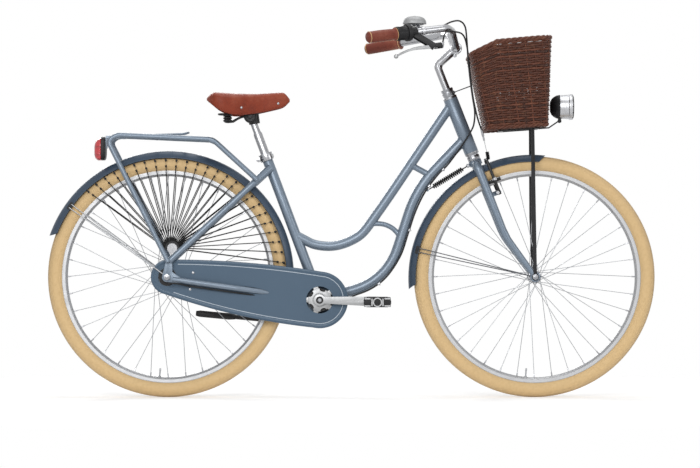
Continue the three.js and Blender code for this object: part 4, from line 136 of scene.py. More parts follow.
# Shader maths
class Tone:
    """What one socket of a shader gives, for use in plain expressions."""

    def __init__(self, finish, socket):
        self.finish = finish
        self.socket = socket

    def maths(self, operation, *values):
        return self.finish.node("Math", {"operation": operation}, values)

    def __add__(self, other):
        return self.maths("ADD", self, other)

    def __sub__(self, other):
        return self.maths("SUBTRACT", self, other)

    def __rsub__(self, other):
        return self.maths("SUBTRACT", other, self)

    def __mul__(self, other):
        return self.maths("MULTIPLY", self, other)

    __radd__ = __add__

    def sin(self):
        return self.maths("SINE", self)

    def size(self):
        return self.maths("ABSOLUTE", self)

    def held(self, low=0.0, high=1.0):
        """The value brought from low..high to 0..1 and held there."""
        values = {"Value": self, "From Min": low, "From Max": high}
        return self.finish.node("MapRange", {"clamp": True}, values, "Result")


class Finish:
    """One material: a principled shader and the nodes that feed it."""

    def __init__(self, name, **plain):
        self.material = bpy.data.materials.new(name)
        self.material.use_nodes = True
        self.tree = self.material.node_tree
        self.tree.nodes.clear()
        self.output = self.tree.nodes.new("ShaderNodeOutputMaterial")
        self.shader = self.tree.nodes.new("ShaderNodeBsdfPrincipled")
        self.tree.links.new(self.shader.outputs[0], self.output.inputs["Surface"])
        for socket, value in plain.items():
            self.shader.inputs[socket.replace("_", " ")].default_value = value

    def node(self, kind, settings=None, values=(), output=0):
        made = self.tree.nodes.new("ShaderNode" + kind)
        for setting, value in (settings or {}).items():
            setattr(made, setting, value)
        pairs = values.items() if isinstance(values, dict) else enumerate(values)
        for socket, value in pairs:
            if isinstance(value, Tone):
                self.tree.links.new(value.socket, made.inputs[socket])
            else:
                made.inputs[socket].default_value = value
        return Tone(self, made.outputs[output])

    def place(self):
        return self.node("TexCoord", output="Object")

    def axes(self, where):
        split = self.node("SeparateXYZ", values=(where,))
        outputs = split.socket.node.outputs
        return [Tone(self, outputs[axis]) for axis in ("X", "Y", "Z")]

    def stretched(self, where, scale):
        return self.node("Mapping", values={"Vector": where, "Scale": scale})

    def noise(self, where, scale, detail=3.0, rough=0.55):
        values = {"Vector": where, "Scale": scale, "Detail": detail, "Roughness": rough}
        return self.node("TexNoise", values=values)

    def cells(self, where, scale, feature="F1"):
        settings = {"feature": feature}
        return self.node("TexVoronoi", settings, {"Vector": where, "Scale": scale}, "Distance")

    def mixed(self, share, first, second):
        return self.node("Mix", {"data_type": "RGBA"}, {0: share, 6: first, 7: second}, 2)

    def give(self, **tones):
        for socket, tone in tones.items():
            self.tree.links.new(tone.socket, self.shader.inputs[socket.replace("_", " ")])
        return self

    def raised(self, height, depth, strength=1.0):
        values = {"Strength": strength, "Distance": depth, "Height": height}
        return self.give(Normal=self.node("Bump", values=values))


def shade(*levels):
    """A colour given as red, green and blue from 0 to 255, in Blender's linear light."""
    shares = [level / 255 for level in levels]
    return tuple(s / 12.92 if s <= 0.04045 else ((s + 0.055) / 1.055) ** 2.4 for s in shares) + (1.0,)


def metallic_paint(name, body, light, metal, rough, coat):
    """Lacquer over fine metal flake: the flake sparkles a little and the coat is slightly wavy."""
    finish = Finish(name, Coat_Roughness=0.16, Coat_IOR=1.45, Specular_IOR_Level=0.35)
    where = finish.place()
    flake = finish.cells(where, 2600)
    cloud = finish.noise(where, 9, 2)
    dust = finish.noise(where, 70, 4).held(0.55, 0.8)
    finish.give(
        Base_Color=finish.mixed(flake.held(0.1, 0.9) * 0.5 + cloud * 0.25, body, light),
        Roughness=flake * 0.08 + dust * 0.06 + rough,
        Metallic=flake * 0.1 + metal,
        Coat_Weight=coat - dust * 0.2,
    )
    return finish.raised(finish.noise(where, 60, 2), 0.00006, 0.35).material


def bright_metal(name, colour, rough, grain):
    """Polished or drawn metal with fine scratches and faint tarnish."""
    finish = Finish(name, Base_Color=colour)
    where = finish.place()
    drawn = finish.noise(where, grain, 4)
    stain = finish.noise(where, 35, 3).held(0.45, 0.75)
    dull = tuple(0.8 * level for level in colour[:3]) + (1.0,)
    finish.give(
        Base_Color=finish.mixed(stain * 0.4, colour, dull),
        Roughness=drawn * 0.12 + stain * 0.1 + rough,
        Metallic=1.0 - stain * 0.08,
    )
    return finish.raised(drawn, 0.00003, 0.3).material


def moulded_plastic(name, colour, worn, rough, grain=900):
    """Injection moulded plastic with a fine spark-eroded grain, rubbed smoother in places."""
    finish = Finish(name, Specular_IOR_Level=0.3)
    where = finish.place()
    rubbed = finish.noise(where, 24, 4).held(0.5, 0.8)
    pits = finish.cells(where, grain)
    finish.give(
        Base_Color=finish.mixed(rubbed * 0.6, colour, worn),
        Roughness=pits * 0.12 + (rough - 0.05) - rubbed * 0.08,
    )
    return finish.raised(pits, 0.00008, 0.4).material


def cream_rubber(name, axle):
    """Cream tyre rubber: ribbed shoulder, a tread of short blocks and road dust worn into it."""
    finish = Finish(name, Sheen_Weight=0.15, Sheen_Roughness=0.6)
    where = finish.place()
    x, y, z = finish.axes(where)
    x = x - axle.x * METRES
    z = z - axle.z * METRES
    turn = z.maths("ARCTAN2", z, x)
    reach = x * x + z * z
    radius = reach.maths("SQRT", reach)
    tread = radius.held(0.3515, 0.3535)  # metres from the axle
    side = (y * 1000).size()  # millimetres from the middle of the tread
    blocks = (turn * 180 + (side * 0.9)).sin().held(-0.25, 0.05)
    rows = (side * 0.82).sin().size().held(0.2, 0.4)
    wall = 1 - tread
    ribs = (radius * 2600).sin() * wall * radius.held(0.342, 0.346)
    dust = finish.noise(where, 120, 5).held(0.42, 0.7)
    fresh, worn = shade(214, 182, 131), shade(188, 156, 107)
    finish.give(
        Base_Color=finish.mixed(dust * 0.25 + tread * 0.35, fresh, worn),
        Roughness=dust * 0.12 + 0.62,
    )
    height = tread * blocks * rows + ribs * 0.2 + finish.noise(where, 900, 2) * 0.1
    return finish.raised(height, 0.0011, 0.85).material


def tanned_leather(name, fresh, worn, dark, rough, grain=520, wear_above=None):
    """Leather: pebbled grain with creases, darker in the folds and polished where it is rubbed."""
    finish = Finish(name, Coat_Roughness=0.35, Specular_IOR_Level=0.3)
    where = finish.place()
    pebble = finish.cells(where, grain, "SMOOTH_F1")
    crease = finish.cells(finish.stretched(where, (0.6, 1.5, 1)), grain * 0.28, "DISTANCE_TO_EDGE")
    patch = finish.noise(where, 17, 5, 0.62)
    rubbed = patch.held(0.52, 0.72)
    soaked = (1 - patch).held(0.5, 0.68)
    if wear_above is not None:
        rubbed = rubbed * finish.axes(where)[2].held(wear_above - 0.05, wear_above)
    tone = finish.mixed(rubbed * 0.75, fresh, worn)
    tone = finish.mixed(soaked * 0.55, tone, dark)
    finish.give(
        Base_Color=finish.mixed((1 - crease.held(0, 0.04)) * 0.35, tone, dark),
        Roughness=rough + pebble * 0.18 - rubbed * 0.12,
        Coat_Weight=rubbed * 0.12 + 0.03,
    )
    height = (1 - pebble) * 0.5 + crease.held(0, 0.05) * 0.5
    return finish.raised(height, 0.00035, 0.6).material


def stained_willow(name):
    """Willow or rattan strands, stained dark, with long fibres, pale scuffs and dark joints."""
    finish = Finish(name, Coat_Roughness=0.4, Specular_IOR_Level=0.25)
    where = finish.place()
    strand = finish.node("Attribute", {"attribute_name": "strand_tone"}, output="Fac")
    fibre = finish.noise(finish.stretched(where, (1, 1, 7)), 260, 4)
    scuff = finish.noise(where, 55, 4).held(0.56, 0.76)
    deep, mid, pale = shade(36, 20, 16), shade(116, 68, 50), shade(150, 104, 78)
    tone = finish.mixed(strand * 0.75 + fibre * 0.3, deep, mid)
    finish.give(
        Base_Color=finish.mixed(scuff * 0.45, tone, pale),
        Roughness=fibre * 0.2 + 0.5,
        Coat_Weight=0.08 - scuff * 0.05,
    )
    return finish.raised(fibre, 0.0003, 0.6).material


def signal_lens(name, colour, dark):
    """Red lens plastic with a grid of small prisms behind a glossy face."""
    finish = Finish(name, Coat_Weight=1.0, Coat_Roughness=0.04, Specular_IOR_Level=0.6)
    _, y, z = finish.axes(finish.place())
    prisms = (y * 1400).sin() * (z * 1400).sin()
    bands = (z * 260).sin().held(-0.9, -0.5)
    finish.give(
        Base_Color=finish.mixed(prisms.held(-0.7, 0.9) * 0.6 + bands * 0.3, dark, colour),
        Roughness=prisms.size() * 0.15 + 0.12,
    )
    return finish.raised(prisms, 0.0004, 0.6).material


def lamp_glass(name):
    """The headlight's clear front over its bright reflector, with upright flutes."""
    finish = Finish(name, Coat_Weight=1.0, Coat_Roughness=0.03)
    where = finish.place()
    flutes = (finish.axes(where)[1] * 900).sin()
    glow = finish.noise(where, 40, 2)
    finish.give(
        Base_Color=finish.mixed(glow, shade(236, 238, 240), shade(176, 182, 190)),
        Roughness=flutes * 0.05 + 0.14,
        Metallic=glow * 0.2 + 0.35,
    )
    return finish.raised(flutes, 0.0008, 0.7).material


PAINT = metallic_paint("frame_paint", shade(92, 106, 121), shade(140, 153, 167), 0.3, 0.34, 0.25)
GUARD = metallic_paint("guard_paint", shade(46, 60, 77), shade(66, 83, 101), 0.1, 0.4, 0.2)
CASE = metallic_paint("case_lacquer", shade(60, 80, 99), shade(77, 98, 117), 0.05, 0.46, 0.15)
ALLOY = bright_metal("polished_alloy", shade(166, 167, 170), 0.16, 160)
SATIN = bright_metal("satin_alloy", shade(158, 159, 160), 0.36, 220)
RIM = bright_metal("rim_alloy", shade(172, 173, 175), 0.34, 320)
STEEL = bright_metal("bright_steel", shade(150, 152, 156), 0.24, 420)
BELL = bright_metal("bell_alloy", shade(150, 151, 152), 0.5, 220)
SPOKE = bright_metal("spoke_steel", shade(156, 158, 161), 0.34, 420)
# painted shade: a darker copy of the bright steel, for small steel parts that sit in shade
SHADOW_STEEL = bright_metal("painted_shade_steel", shade(88, 90, 94), 0.36, 300)
BLACK_STEEL = moulded_plastic("black_steel", shade(20, 20, 22), shade(52, 52, 56), 0.4)
BLACK = moulded_plastic("black_plastic", shade(20, 20, 22), shade(44, 44, 48), 0.5)
SLEEVE = moulded_plastic("cable_sleeve", shade(16, 16, 18), shade(40, 40, 44), 0.42)
CORD = moulded_plastic("skirt_cord", shade(12, 11, 12), shade(28, 27, 27), 0.7, 2400)
LAMP = bright_metal("lamp_shell", shade(186, 187, 190), 0.3, 120)
SADDLE = tanned_leather(
    "saddle_leather", shade(132, 52, 29), shade(158, 82, 54), shade(84, 30, 19), 0.5, 420, 0.895)
GRIP = tanned_leather("grip_leather", shade(116, 54, 40), shade(142, 80, 60), shade(62, 27, 21), 0.56, 620)
LACE = tanned_leather("pale_lace", shade(206, 168, 122), shade(226, 196, 152), shade(150, 108, 74), 0.6, 700)
WICKER = stained_willow("wicker")
RED = signal_lens("red_lens", shade(226, 24, 44), shade(140, 10, 20))
GLASS = lamp_glass("lamp_glass")
WHITE_LINE = moulded_plastic("line_paint", shade(186, 196, 206), shade(150, 162, 174), 0.4)

# The slot each finish usually fills; a piece may name another
SLOT_OF = {finish.name: slot for slot, *finishes in (
    ("frame_paint", PAINT), ("guard_paint", GUARD), ("case_plastic", CASE, WHITE_LINE),
    ("polished_aluminium", ALLOY, SATIN, RIM, BELL), ("bright_steel", STEEL, SPOKE, SHADOW_STEEL),
    ("black_steel", BLACK_STEEL), ("black_plastic", BLACK, CORD), ("cable_sleeve", SLEEVE),
    ("lamp_shell", LAMP, GLASS), ("red_lens", RED), ("saddle_leather", SADDLE), ("grip_leather", GRIP, LACE),
    ("wicker", WICKER)) for finish in finishes}


# Forms: a form is a pair of a list of points and a list of faces
def outline_round(sides):
    return [(cos(turn), sin(turn)) for turn in turns_of(sides, 0.5)]


def outline_box(wide, high):
    return [(wide, high), (-wide, high), (-wide, -high), (wide, -high)]


def lofted(rings, closed=False, capped=True):
    """A skin over rings of points, with a cap at each end unless it closes on itself."""
    count = len(rings[0])
    points = [p for ring in rings for p in ring]
    faces = []
    runs = len(rings) if closed else len(rings) - 1
    for r in range(runs):
        for i in range(count):
            j = (i + 1) % count
            a, b = r * count, ((r + 1) % len(rings)) * count
            faces.append((a + i, a + j, b + j, b + i))
    if capped and not closed:
        faces.append(tuple(reversed(range(count))))
        faces.append(tuple(range(len(points) - count, len(points))))
    return points, faces


def directions(stations, side=None):
    """At each station the way ahead and two directions square to it, without twist."""
    last = len(stations) - 1
    frames = []
    across = None
    for i in range(last + 1):
        back = stations[max(i - 1, 0)]
        ahead = stations[min(i + 1, last)]
        run = (ahead - back).normalized()
        if side is not None:
            across = side
        elif across is None:
            across = run.cross(ACROSS if abs(run.y) < 0.9 else UP)
        across = (across - run * across.dot(run)).normalized()
        frames.append((run, across, run.cross(across)))
    return frames


def swept(stations, radius, sides=16, outline=None, side=None, capped=True):
    """A tube along stations. radius is a number or a function of the share of the way."""
    shape = outline or outline_round(sides)
    last = len(stations) - 1
    rings = []
    for i, (here, (_, u, v)) in enumerate(zip(stations, directions(stations, side))):
        size = radius(i / last) if callable(radius) else radius
        rings.append([here + u * (p * size) + v * (q * size) for p, q in shape])
    return lofted(rings, capped=capped)


def turned(profile, base, axis, facets=48, closed=False):
    """A profile of (radius, distance along the axis) turned about the axis."""
    axis = axis.normalized()
    u = axis.cross(UP if abs(axis.z) < 0.9 else AHEAD).normalized()
    v = axis.cross(u)
    rings = []
    for turn in turns_of(facets):
        out = u * cos(turn) + v * sin(turn)
        rings.append([base + out * max(radius, 0.01) + axis * along for radius, along in profile])
    points, faces = lofted(rings, closed=True)
    if not closed:
        count = len(profile)
        faces = [f for f in faces if not ({f[0] % count, f[1] % count} == {0, count - 1})]
        faces.append(tuple(i * count for i in range(facets)))
        faces.append(tuple(i * count + count - 1 for i in reversed(range(facets))))
    return points, faces


def rod(a, b, radius, facets=20):
    """A round bar with slightly broken edges."""
    length = (b - a).length
    edge = min(radius * 0.12, length * 0.2)
    profile = [(radius - edge, 0), (radius, edge), (radius, length - edge), (radius - edge, length)]
    return turned(profile, a, b - a, facets)


def bent(corners, bend, step=5):
    """A route with each inner corner rounded, as a tube bender leaves it."""
    stations = [corners[0]]
    for i in range(1, len(corners) - 1):
        radius = bend[i - 1] if isinstance(bend, (list, tuple)) else bend
        back, ahead = corners[i - 1] - corners[i], corners[i + 1] - corners[i]
        room = min(back.length, ahead.length) * 0.49
        back, ahead = back.normalized(), ahead.normalized()
        turn = pi - back.angle(ahead)
        reach = min(radius * tan(turn / 2), room)
        used = reach / tan(turn / 2)
        centre = corners[i] + (back + ahead).normalized() * hypot(used, reach)
        start = corners[i] + back * reach - centre
        normal = start.cross(corners[i] + ahead * reach - centre).normalized()
        pieces = max(2, ceil(degrees(turn) / step))
        for k in range(pieces + 1):
            stations.append(Matrix.Rotation(turn * k / pieces, 3, normal) @ start + centre)
    return stations + [corners[-1]]


def flowing(points, steps=8):
    """A smooth line through the points."""
    stations = []
    for i in range(len(points) - 1):
        a, b = points[max(i - 1, 0)], points[i]
        c, d = points[i + 1], points[min(i + 2, len(points) - 1)]
        for k in range(steps):
            t = k / steps
            stations.append(0.5 * (
                2 * b + (c - a) * t + (2 * a - 5 * b + 4 * c - d) * t * t
                + (3 * b - 3 * c + d - a) * t * t * t))
    return stations + [points[-1]]


def share_point(stations, share):
    """The point at a share of the way along the stations."""
    lengths = [(b - a).length for a, b in zip(stations, stations[1:])]
    rest = share * sum(lengths)
    for i, length in enumerate(lengths):
        if rest <= length or i == len(lengths) - 1:
            return between(stations[i], stations[i + 1], rest / length)
        rest -= length


def together(*forms):
    """Several forms as one."""
    points, faces = [], []
    for more_points, more_faces in forms:
        start = len(points)
        points.extend(more_points)
        faces.extend(tuple(i + start for i in face) for face in more_faces)
    return points, faces


# Pieces
def piece(name, form, finish, body, smooth=35, stands_for=(), slot=None):
    """A mesh piece of one form or a list of forms, riding on a body and standing for any CAD nodes named."""
    points, faces = together(*form) if isinstance(form, list) else form
    mesh = bpy.data.meshes.new(name)
    mesh.from_pydata([tuple(p * METRES) for p in points], [], faces)
    shaped = bmesh.new()
    shaped.from_mesh(mesh)
    bmesh.ops.remove_doubles(shaped, verts=shaped.verts, dist=1e-6)
    bmesh.ops.recalc_face_normals(shaped, faces=shaped.faces)
    shaped.to_mesh(mesh)
    shaped.free()
    return settle(name, mesh, finish, body, smooth, stands_for, slot)


def settle(name, mesh, finish, body, smooth, stands_for, slot=None):
    """Makes the object and shades it smooth below an angle."""
    slot = slot or SLOT_OF[finish.name]
    mesh.polygons.foreach_set("use_smooth", [True] * len(mesh.polygons))
    mesh.set_sharp_from_angle(angle=radians(smooth))
    mesh.materials.clear()
    mesh.materials.append(finish)
    made = bpy.data.objects.new(name, mesh)
    bpy.context.collection.objects.link(made)
    if isinstance(body, str):
        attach(made, body)
    else:  # two bodies and the points between which the piece passes from one to the other
        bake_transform(made)
    if stands_for:
        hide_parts(*stands_for)
    return made


def skinned(node, finish, smooth=38, edge=0.0, shift=None, slot=None):
    """The CAD solid's own shape with smooth shading over its facets and its edges broken.

    shift, where given, takes each point in mm and returns it a little moved.
    """
    mesh = PARTS[node].data.copy()
    mesh.name = node + "_skin"
    shaped = bmesh.new()
    shaped.from_mesh(mesh)
    bmesh.ops.remove_doubles(shaped, verts=shaped.verts, dist=2e-5)
    bmesh.ops.dissolve_limit(shaped, angle_limit=radians(3), verts=shaped.verts, edges=shaped.edges)
    if edge:
        sharp = [
            e for e in shaped.edges
            if len(e.link_faces) == 2 and e.calc_face_angle(0) > radians(smooth)]
        bmesh.ops.bevel(
            shaped, geom=sharp, offset=edge * METRES, segments=2, profile=0.6,
            affect="EDGES", clamp_overlap=True)
    if shift:
        for vertex in shaped.verts:
            vertex.co = shift(vertex.co / METRES) * METRES
    shaped.to_mesh(mesh)
    shaped.free()
    return settle(node + "_skin", mesh, finish, PARTS[node]["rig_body"], smooth, (node,), slot)


# Frame tubes, on the same routes as the CAD tubes
UPPER_RADIUS, LOWER_RADIUS, SEAT_RADIUS = 14.3, 15.5, 15.4
UPPER_JOINT, LOWER_JOINT = 569.6, 460  # where the tubes meet the steerer


def flared(radius, span):
    """A brace's radius along its length, with a cast fillet where it meets each tube."""
    return lambda share: radius * (1 + 0.8 * max(0, abs(2 * share - 1) - span) ** 2 / (1 - span) ** 2)


def weld(place, way, radius):
    """A filler bead round a tube where it meets the head tube."""
    wall = 21.2  # just outside the head tube
    way = way.normalized()
    u = way.cross(ACROSS).normalized()
    flat = way - STEER_UP * way.dot(STEER_UP)
    ring = []
    for turn in turns_of(48):
        side = u * (radius * cos(turn)) + ACROSS * (radius * sin(turn))
        square = sqrt(max(wall ** 2 - side.y ** 2, 0))
        offset = side - STEER_UP * side.dot(STEER_UP)
        reach = (square - offset.dot(flat.normalized())) / flat.length
        ring.append(place + side + way * max(reach, 0))
    return swept(ring + ring[:2], 1.6, 8, capped=False)


def dress_frame():
    head = turned(
        [(17, 0), (20.6, 0), (21, 0.6), (21, 169.4), (20.6, 170), (17, 170)], on_steerer(413), STEER_UP, 48,
        closed=True)
    piece("head_tube_skin", head, PAINT, "frame", stands_for=["head_tube"])
    top, knee = on_steerer(UPPER_JOINT), at(114.8, 0, 600)
    low_run = [(76, 544.5), (34.6, 489.1), (-4, 463.8), (-41.7, 451.2), (-76, 448.8), (-111.7, 454.6), (-140, 468)]
    upper = flowing(
        [between(top, knee, i / 5) for i in range(6)] + [at(x, 0, z) for x, z in low_run] + [on_seat_tube(205)], 6)
    lower = bent([
        on_steerer(LOWER_JOINT), BOTTOM_BRACKET + at(288, 0, 329), BOTTOM_BRACKET + at(200, 0, 56),
        BOTTOM_BRACKET], [330, 247])

    def beside(place):
        """The point on the lower tube's middle line next to a place."""
        return min((share_point(lower, i / 400) for i in range(401)), key=lambda p: (p - place).length)

    straight = [between(at(176, 0, 691), beside(at(237, 0, 657)), i / 16) for i in range(17)]
    curved = flowing(
        [at(52, 0, 513), at(74, 0, 516), at(100, 0, 513), at(124, 0, 501), beside(at(150, 0, 476))], 6)
    braces = together(swept(straight, flared(9, 0.45), 24), swept(curved, flared(7.5, 0.6), 24))
    piece("upper_tube_skin", [swept(upper, UPPER_RADIUS, 28, side=ACROSS), braces], PAINT, "frame",
          stands_for=["upper_frame_tube"])
    low = share_point(lower, 0.285)
    run = (share_point(lower, 0.305) - share_point(lower, 0.265)).normalized()
    lug = low + at(-run.z, 0, run.x) * 20.5
    piece("lower_tube_skin", [
        swept(lower, LOWER_RADIUS, 28), rod(low, lug, 3.2, 16), rod(lug - ACROSS * 4, lug + ACROSS * 4, 4, 20)],
        PAINT, "frame", stands_for=["lower_frame_tube"])
    seat = turned(
        [(13.8, -210), (SEAT_RADIUS, -210), (SEAT_RADIUS, -0.6), (15.0, 0), (13.8, 0)], on_seat_tube(464), SEAT_UP,
        40, closed=True)
    foot = swept([on_seat_tube(12), on_seat_tube(256)], SEAT_RADIUS, 40)
    piece("seat_tube_skin", [seat, foot], PAINT, "frame", stands_for=["seat_tube"])
    shell = turned(
        [(14.5, -34), (19.4, -34), (20, -33.4), (20, 33.4), (19.4, 34), (14.5, 34)], BOTTOM_BRACKET, ACROSS,
        40, closed=True)
    piece("bracket_shell_skin", shell, PAINT, "frame", stands_for=["bottom_bracket_shell"])
    welds = [
        weld(on_steerer(UPPER_JOINT), upper[1] - upper[0], UPPER_RADIUS),
        weld(on_steerer(LOWER_JOINT), lower[1] - lower[0], LOWER_RADIUS)]
    piece("head_welds", welds, PAINT, "frame", smooth=80)
    for name in ("headset_lower", "headset_upper"):
        skinned(name, STEEL, 30, slot="polished_aluminium")


def chainstay_line(side, start):
    """The corners of a chainstay's middle line, the first one start ahead of the rear axle."""
    slope = (290 - 348) / (451 - 40)
    corners = ((start, 69.5), (40, 69.5), (205, 65.5), (372, 37), (451, 24))
    return [from_rear(x, side * y, -10 + slope * (x - 40)) for x, y in corners]


def seatstay_line(side):
    """The corners of a seatstay's middle line, from the rear dropout up."""
    foot, top = from_rear(6, side * 69.5, 46), on_seat_tube(418)
    shoulder = between(foot, top, 0.82)
    shoulder.y = side * 46
    return [foot, shoulder, at(top.x, side * 13, top.z)]


def dress_stays():
    for side, name in SIDES:
        lower = swept(bent(chainstay_line(side, 30), 60), lambda share: 8.25 if share > 0.05 else 7.4, 24)
        piece(f"chainstay_{name}_tube", lower, PAINT, "frame")
        skinned(f"chainstay_{name}", PAINT, 40, 0.5)
        upper = swept(bent(seatstay_line(side), 60), lambda share: 9.6 + 2.4 * share ** 3, 28)
        piece(f"seatstay_{name}_skin", upper, PAINT, "frame", stands_for=[f"seatstay_{name}"])


# Rear rack
def deck(side, share):
    """A point on a side tube of the rack's deck, from its rear end at 0 to its front end at 1."""
    return between(from_rear(-148, side * 62, 420), from_rear(134, side * 56, 407.2), share)


def rack_side(side):
    """One side tube's route: up from the rear dropout, along the deck and on to the seatstay."""
    landing = share_point(bent(seatstay_line(side), 60, 20), 0.86)
    landing.y += side * 17.3
    return bent([
        from_rear(4, side * 82, 44), from_rear(-176, side * 62, 404), deck(side, 0), deck(side, 1), landing], 34, 8)


def lamp_ring(x, half, low, high):
    """A rounded oblong square to the bike's length, half wide to each side."""
    middle, tall = (low + high) / 2, (high - low) / 2
    ring = []
    for turn in turns_of(48):
        p, q = (copysign(abs(value) ** 0.42, value) for value in (cos(turn), sin(turn)))
        ring.append(at(x, half * p, middle + tall * q))
    return ring


def dress_rack():
    forms = [swept(rack_side(side), 7.4, 24) for side in (-1, 1)]
    for share in (0.08, 0.4, 0.72, 0.94):
        forms.append(rod(deck(-1, share), deck(1, share), 4.5, 20))
    piece("rack_tubes", forms, PAINT, "frame")
    skinned("rear_rack", PAINT, 40, 0.4)
    clip_base = between(deck(-1, 0.4), deck(1, 0.4), 0.5)
    right, left = ([
        at(clip_base.x, side * 36, clip_base.z + 7), at(clip_base.x + 81.6, side * 36, clip_base.z + 9.7),
        at(clip_base.x + 96, side * 28.8, clip_base.z + 14)] for side in (-1, 1))
    bow = bent(right + left[::-1], 12, 8)
    coils = []
    for side in (-1, 1):
        turns = []
        for i in range(5 * 24 + 1):
            turn = 2 * pi * i / 24
            turns.append(at(clip_base.x + 7.2 * cos(turn), side * (37 - i * 0.09), clip_base.z + 7.2 * sin(turn)))
        coils.append(swept(turns, 1.15, 8))
    piece("rack_clip_bow", [
        swept(bow, 2.2, 16), *coils,
        rod(at(clip_base.x + 48, -36, clip_base.z + 8.6), at(clip_base.x + 48, 36, clip_base.z + 8.6), 2.2)],
        PAINT, "rack_clip", stands_for=["rack_spring_clip"])
    housing = lofted([lamp_ring(*sizes) for sizes in (
        (-729.4, 30, 718, 764), (-731, 39, 708, 771), (-733.6, 41, 704.6, 774), (-740, 41.4, 704, 774),
        (-742.4, 41, 704.4, 773.4), (-743, 38, 707, 771))])
    lens = lofted([lamp_ring(*sizes) for sizes in (
        (-742.4, 38.6, 704, 770), (-744, 39.8, 702.4, 770.6), (-753, 38.8, 703, 767), (-759.4, 35, 708, 760),
        (-762.6, 29, 716, 750), (-763, 20, 722, 742))])
    piece("tail_light_housing_skin", housing, BLACK, "frame", 34, ["tail_light_housing"])
    piece("tail_light_lens_skin", lens, RED, "frame", 34, ["tail_light_lens"])


# Mudguards: a crowned sheet with a rolled edge, on wire stays
GUARD_DEPTH, GUARD_HALF = 20, 28  # from the crown down to the edge, and half the width


def guard_sheet(centre, radius, start, stop, lean=(0, 0)):
    """The crown reaches from start to stop in degrees; the skirts stop short of it by lean."""
    def turn_at(share, low):
        first, last = start + lean[0] * low, stop - lean[1] * low
        return radians(first + (last - first) * share)

    section = []
    for i in range(25):
        share = 2 * i / 24 - 1
        section.append((GUARD_DEPTH * abs(share) ** 2.6, GUARD_HALF * share))
    inner = [(drop + 1.4, y * 0.95) for drop, y in reversed(section)]
    steps = round((stop - start) / 1.5)
    rings = [
        [polar(centre, radius - drop, turn_at(i / steps, min(drop / GUARD_DEPTH, 1)), y)
         for drop, y in section + inner]
        for i in range(steps + 1)]
    rolled = []
    for side in (-1, 1):
        edge = [polar(centre, radius - GUARD_DEPTH, turn_at(i / steps, 1), side * 27.6) for i in range(steps + 1)]
        rolled.append(swept(edge, 1.1, 8))
    return together(lofted(rings), *rolled)


def guard_stays(centre, radius, angle, axle, spread, knee):
    """Two wires a side from round the axle to a clip on the edge; knee, if any, is their bend's distance."""
    clip = radius - GUARD_DEPTH
    half = degrees(12 / clip) / 2
    wires, clips = [], []
    for side in (-1, 1):
        eye = at(axle.x, side * spread, axle.z)
        for turn in (angle - half, angle + half):
            outer = polar(centre, clip + 9, radians(turn), side * 28.4)
            out = at(outer.x - eye.x, 0, outer.z - eye.z).normalized()
            route = [outer, eye + out * 6.8]
            if knee:
                route = bent([outer, eye + out * knee, eye + out * 6.8], 40, 6)
            wires.append(swept(route, 1.5, 12))
        wires.append(turned([(5.2, -1.6), (10.8, -1.6), (10.8, 1.6), (5.2, 1.6)], eye, ACROSS, 32, closed=True))
        first, last = (polar(centre, clip + 5, radians(angle + k * 1.9 * half), side * 28.6) for k in (-1, 1))
        clips.append(swept(
            [first, last], 1.0, outline=outline_box(4.5, 1.8), side=ACROSS.cross(last - first).normalized()))
        middle = between(first, last, 0.5)
        clips.append(rod(middle, middle + ACROSS * (side * 4), 2.8, 6))
    return together(*wires), together(*clips)


def dress_mudguards():
    rear = guard_sheet(REAR_AXLE, 374, -8, 161, (0, 2.4))
    front_centre = FRONT_AXLE - at(7, 0, 5)
    front = guard_sheet(front_centre, 368, 83.8, 185, (2.8, 2.2))
    piece("rear_mudguard_sheet", rear, GUARD, "frame", stands_for=["rear_mudguard"])
    piece("front_mudguard_sheet", front, GUARD, "fork", stands_for=["front_mudguard"])
    wires, clips = guard_stays(REAR_AXLE, 374, 144, REAR_AXLE, 64.7, 64)
    piece("rear_mudguard_stays", wires, SPOKE, "frame")
    piece("rear_stay_clips", clips, BLACK, "frame", 30)
    wires, clips = guard_stays(front_centre, 368, 166, FRONT_AXLE, 47.7, 0)
    piece("front_mudguard_stays", wires, SHADOW_STEEL, "fork")
    piece("front_stay_clips", clips, BLACK, "fork", 30)


# Skirt guard: cords from a half-round bracket to a row of beads, each hooked to the mudguard's edge
def bead(place, way, size):
    """A small egg-shaped bead."""
    profile = [(size * sin(k * pi / 8), -size * 1.3 * cos(k * pi / 8)) for k in range(9)]
    return turned(profile, place, way, 14)


def dress_skirt_guards():
    for side, name in SIDES:
        hub = from_rear(14, side * 50, 85)
        cords, beads, hooks = [], [], []
        for i in range(25):
            share = i / 24
            root = polar(hub, 17, radians(-8 + 196 * share))
            tip = polar(REAR_AXLE, 346, radians(7 + 126 * share), side * 31.3)
            inner = between(root, tip, 1 - 18 / (tip - root).length)
            cords.append(swept([root, between(root, inner, 0.5), inner], 1.5, 8))
            hooks.append(swept([inner, tip], 0.5, 6))
            way = (tip - root).normalized()
            beads += [bead(inner, way, 3.2), bead(tip, way, 3.4)]
        piece(f"skirt_cords_{name}", cords, CORD, "frame", stands_for=[f"skirt_guard_{name}"])
        piece(f"skirt_beads_{name}", beads, BLACK, "frame")
        piece(f"skirt_hooks_{name}", hooks, SHADOW_STEEL, "frame")
        arc = [polar(hub, 18.4, radians(-14 + 208 * k / 30)) for k in range(31)]
        comb = swept(arc, 1.0, outline=outline_box(2.6, 3.0), side=ACROSS)
        disc = turned([(0, -1.4), (14.6, -1.4), (15.2, -0.8), (15.2, 0.8), (14.6, 1.4), (0, 1.4)], hub, ACROSS, 40)
        piece(f"skirt_comb_{name}", comb, BLACK, "frame", 30)
        piece(f"skirt_bracket_{name}", disc, ALLOY, "frame", 30)


# Wheels
SPOKES = 36
FLANGE_FACE = 2.9  # from the middle of a hub flange to the middle of a spoke lying on it


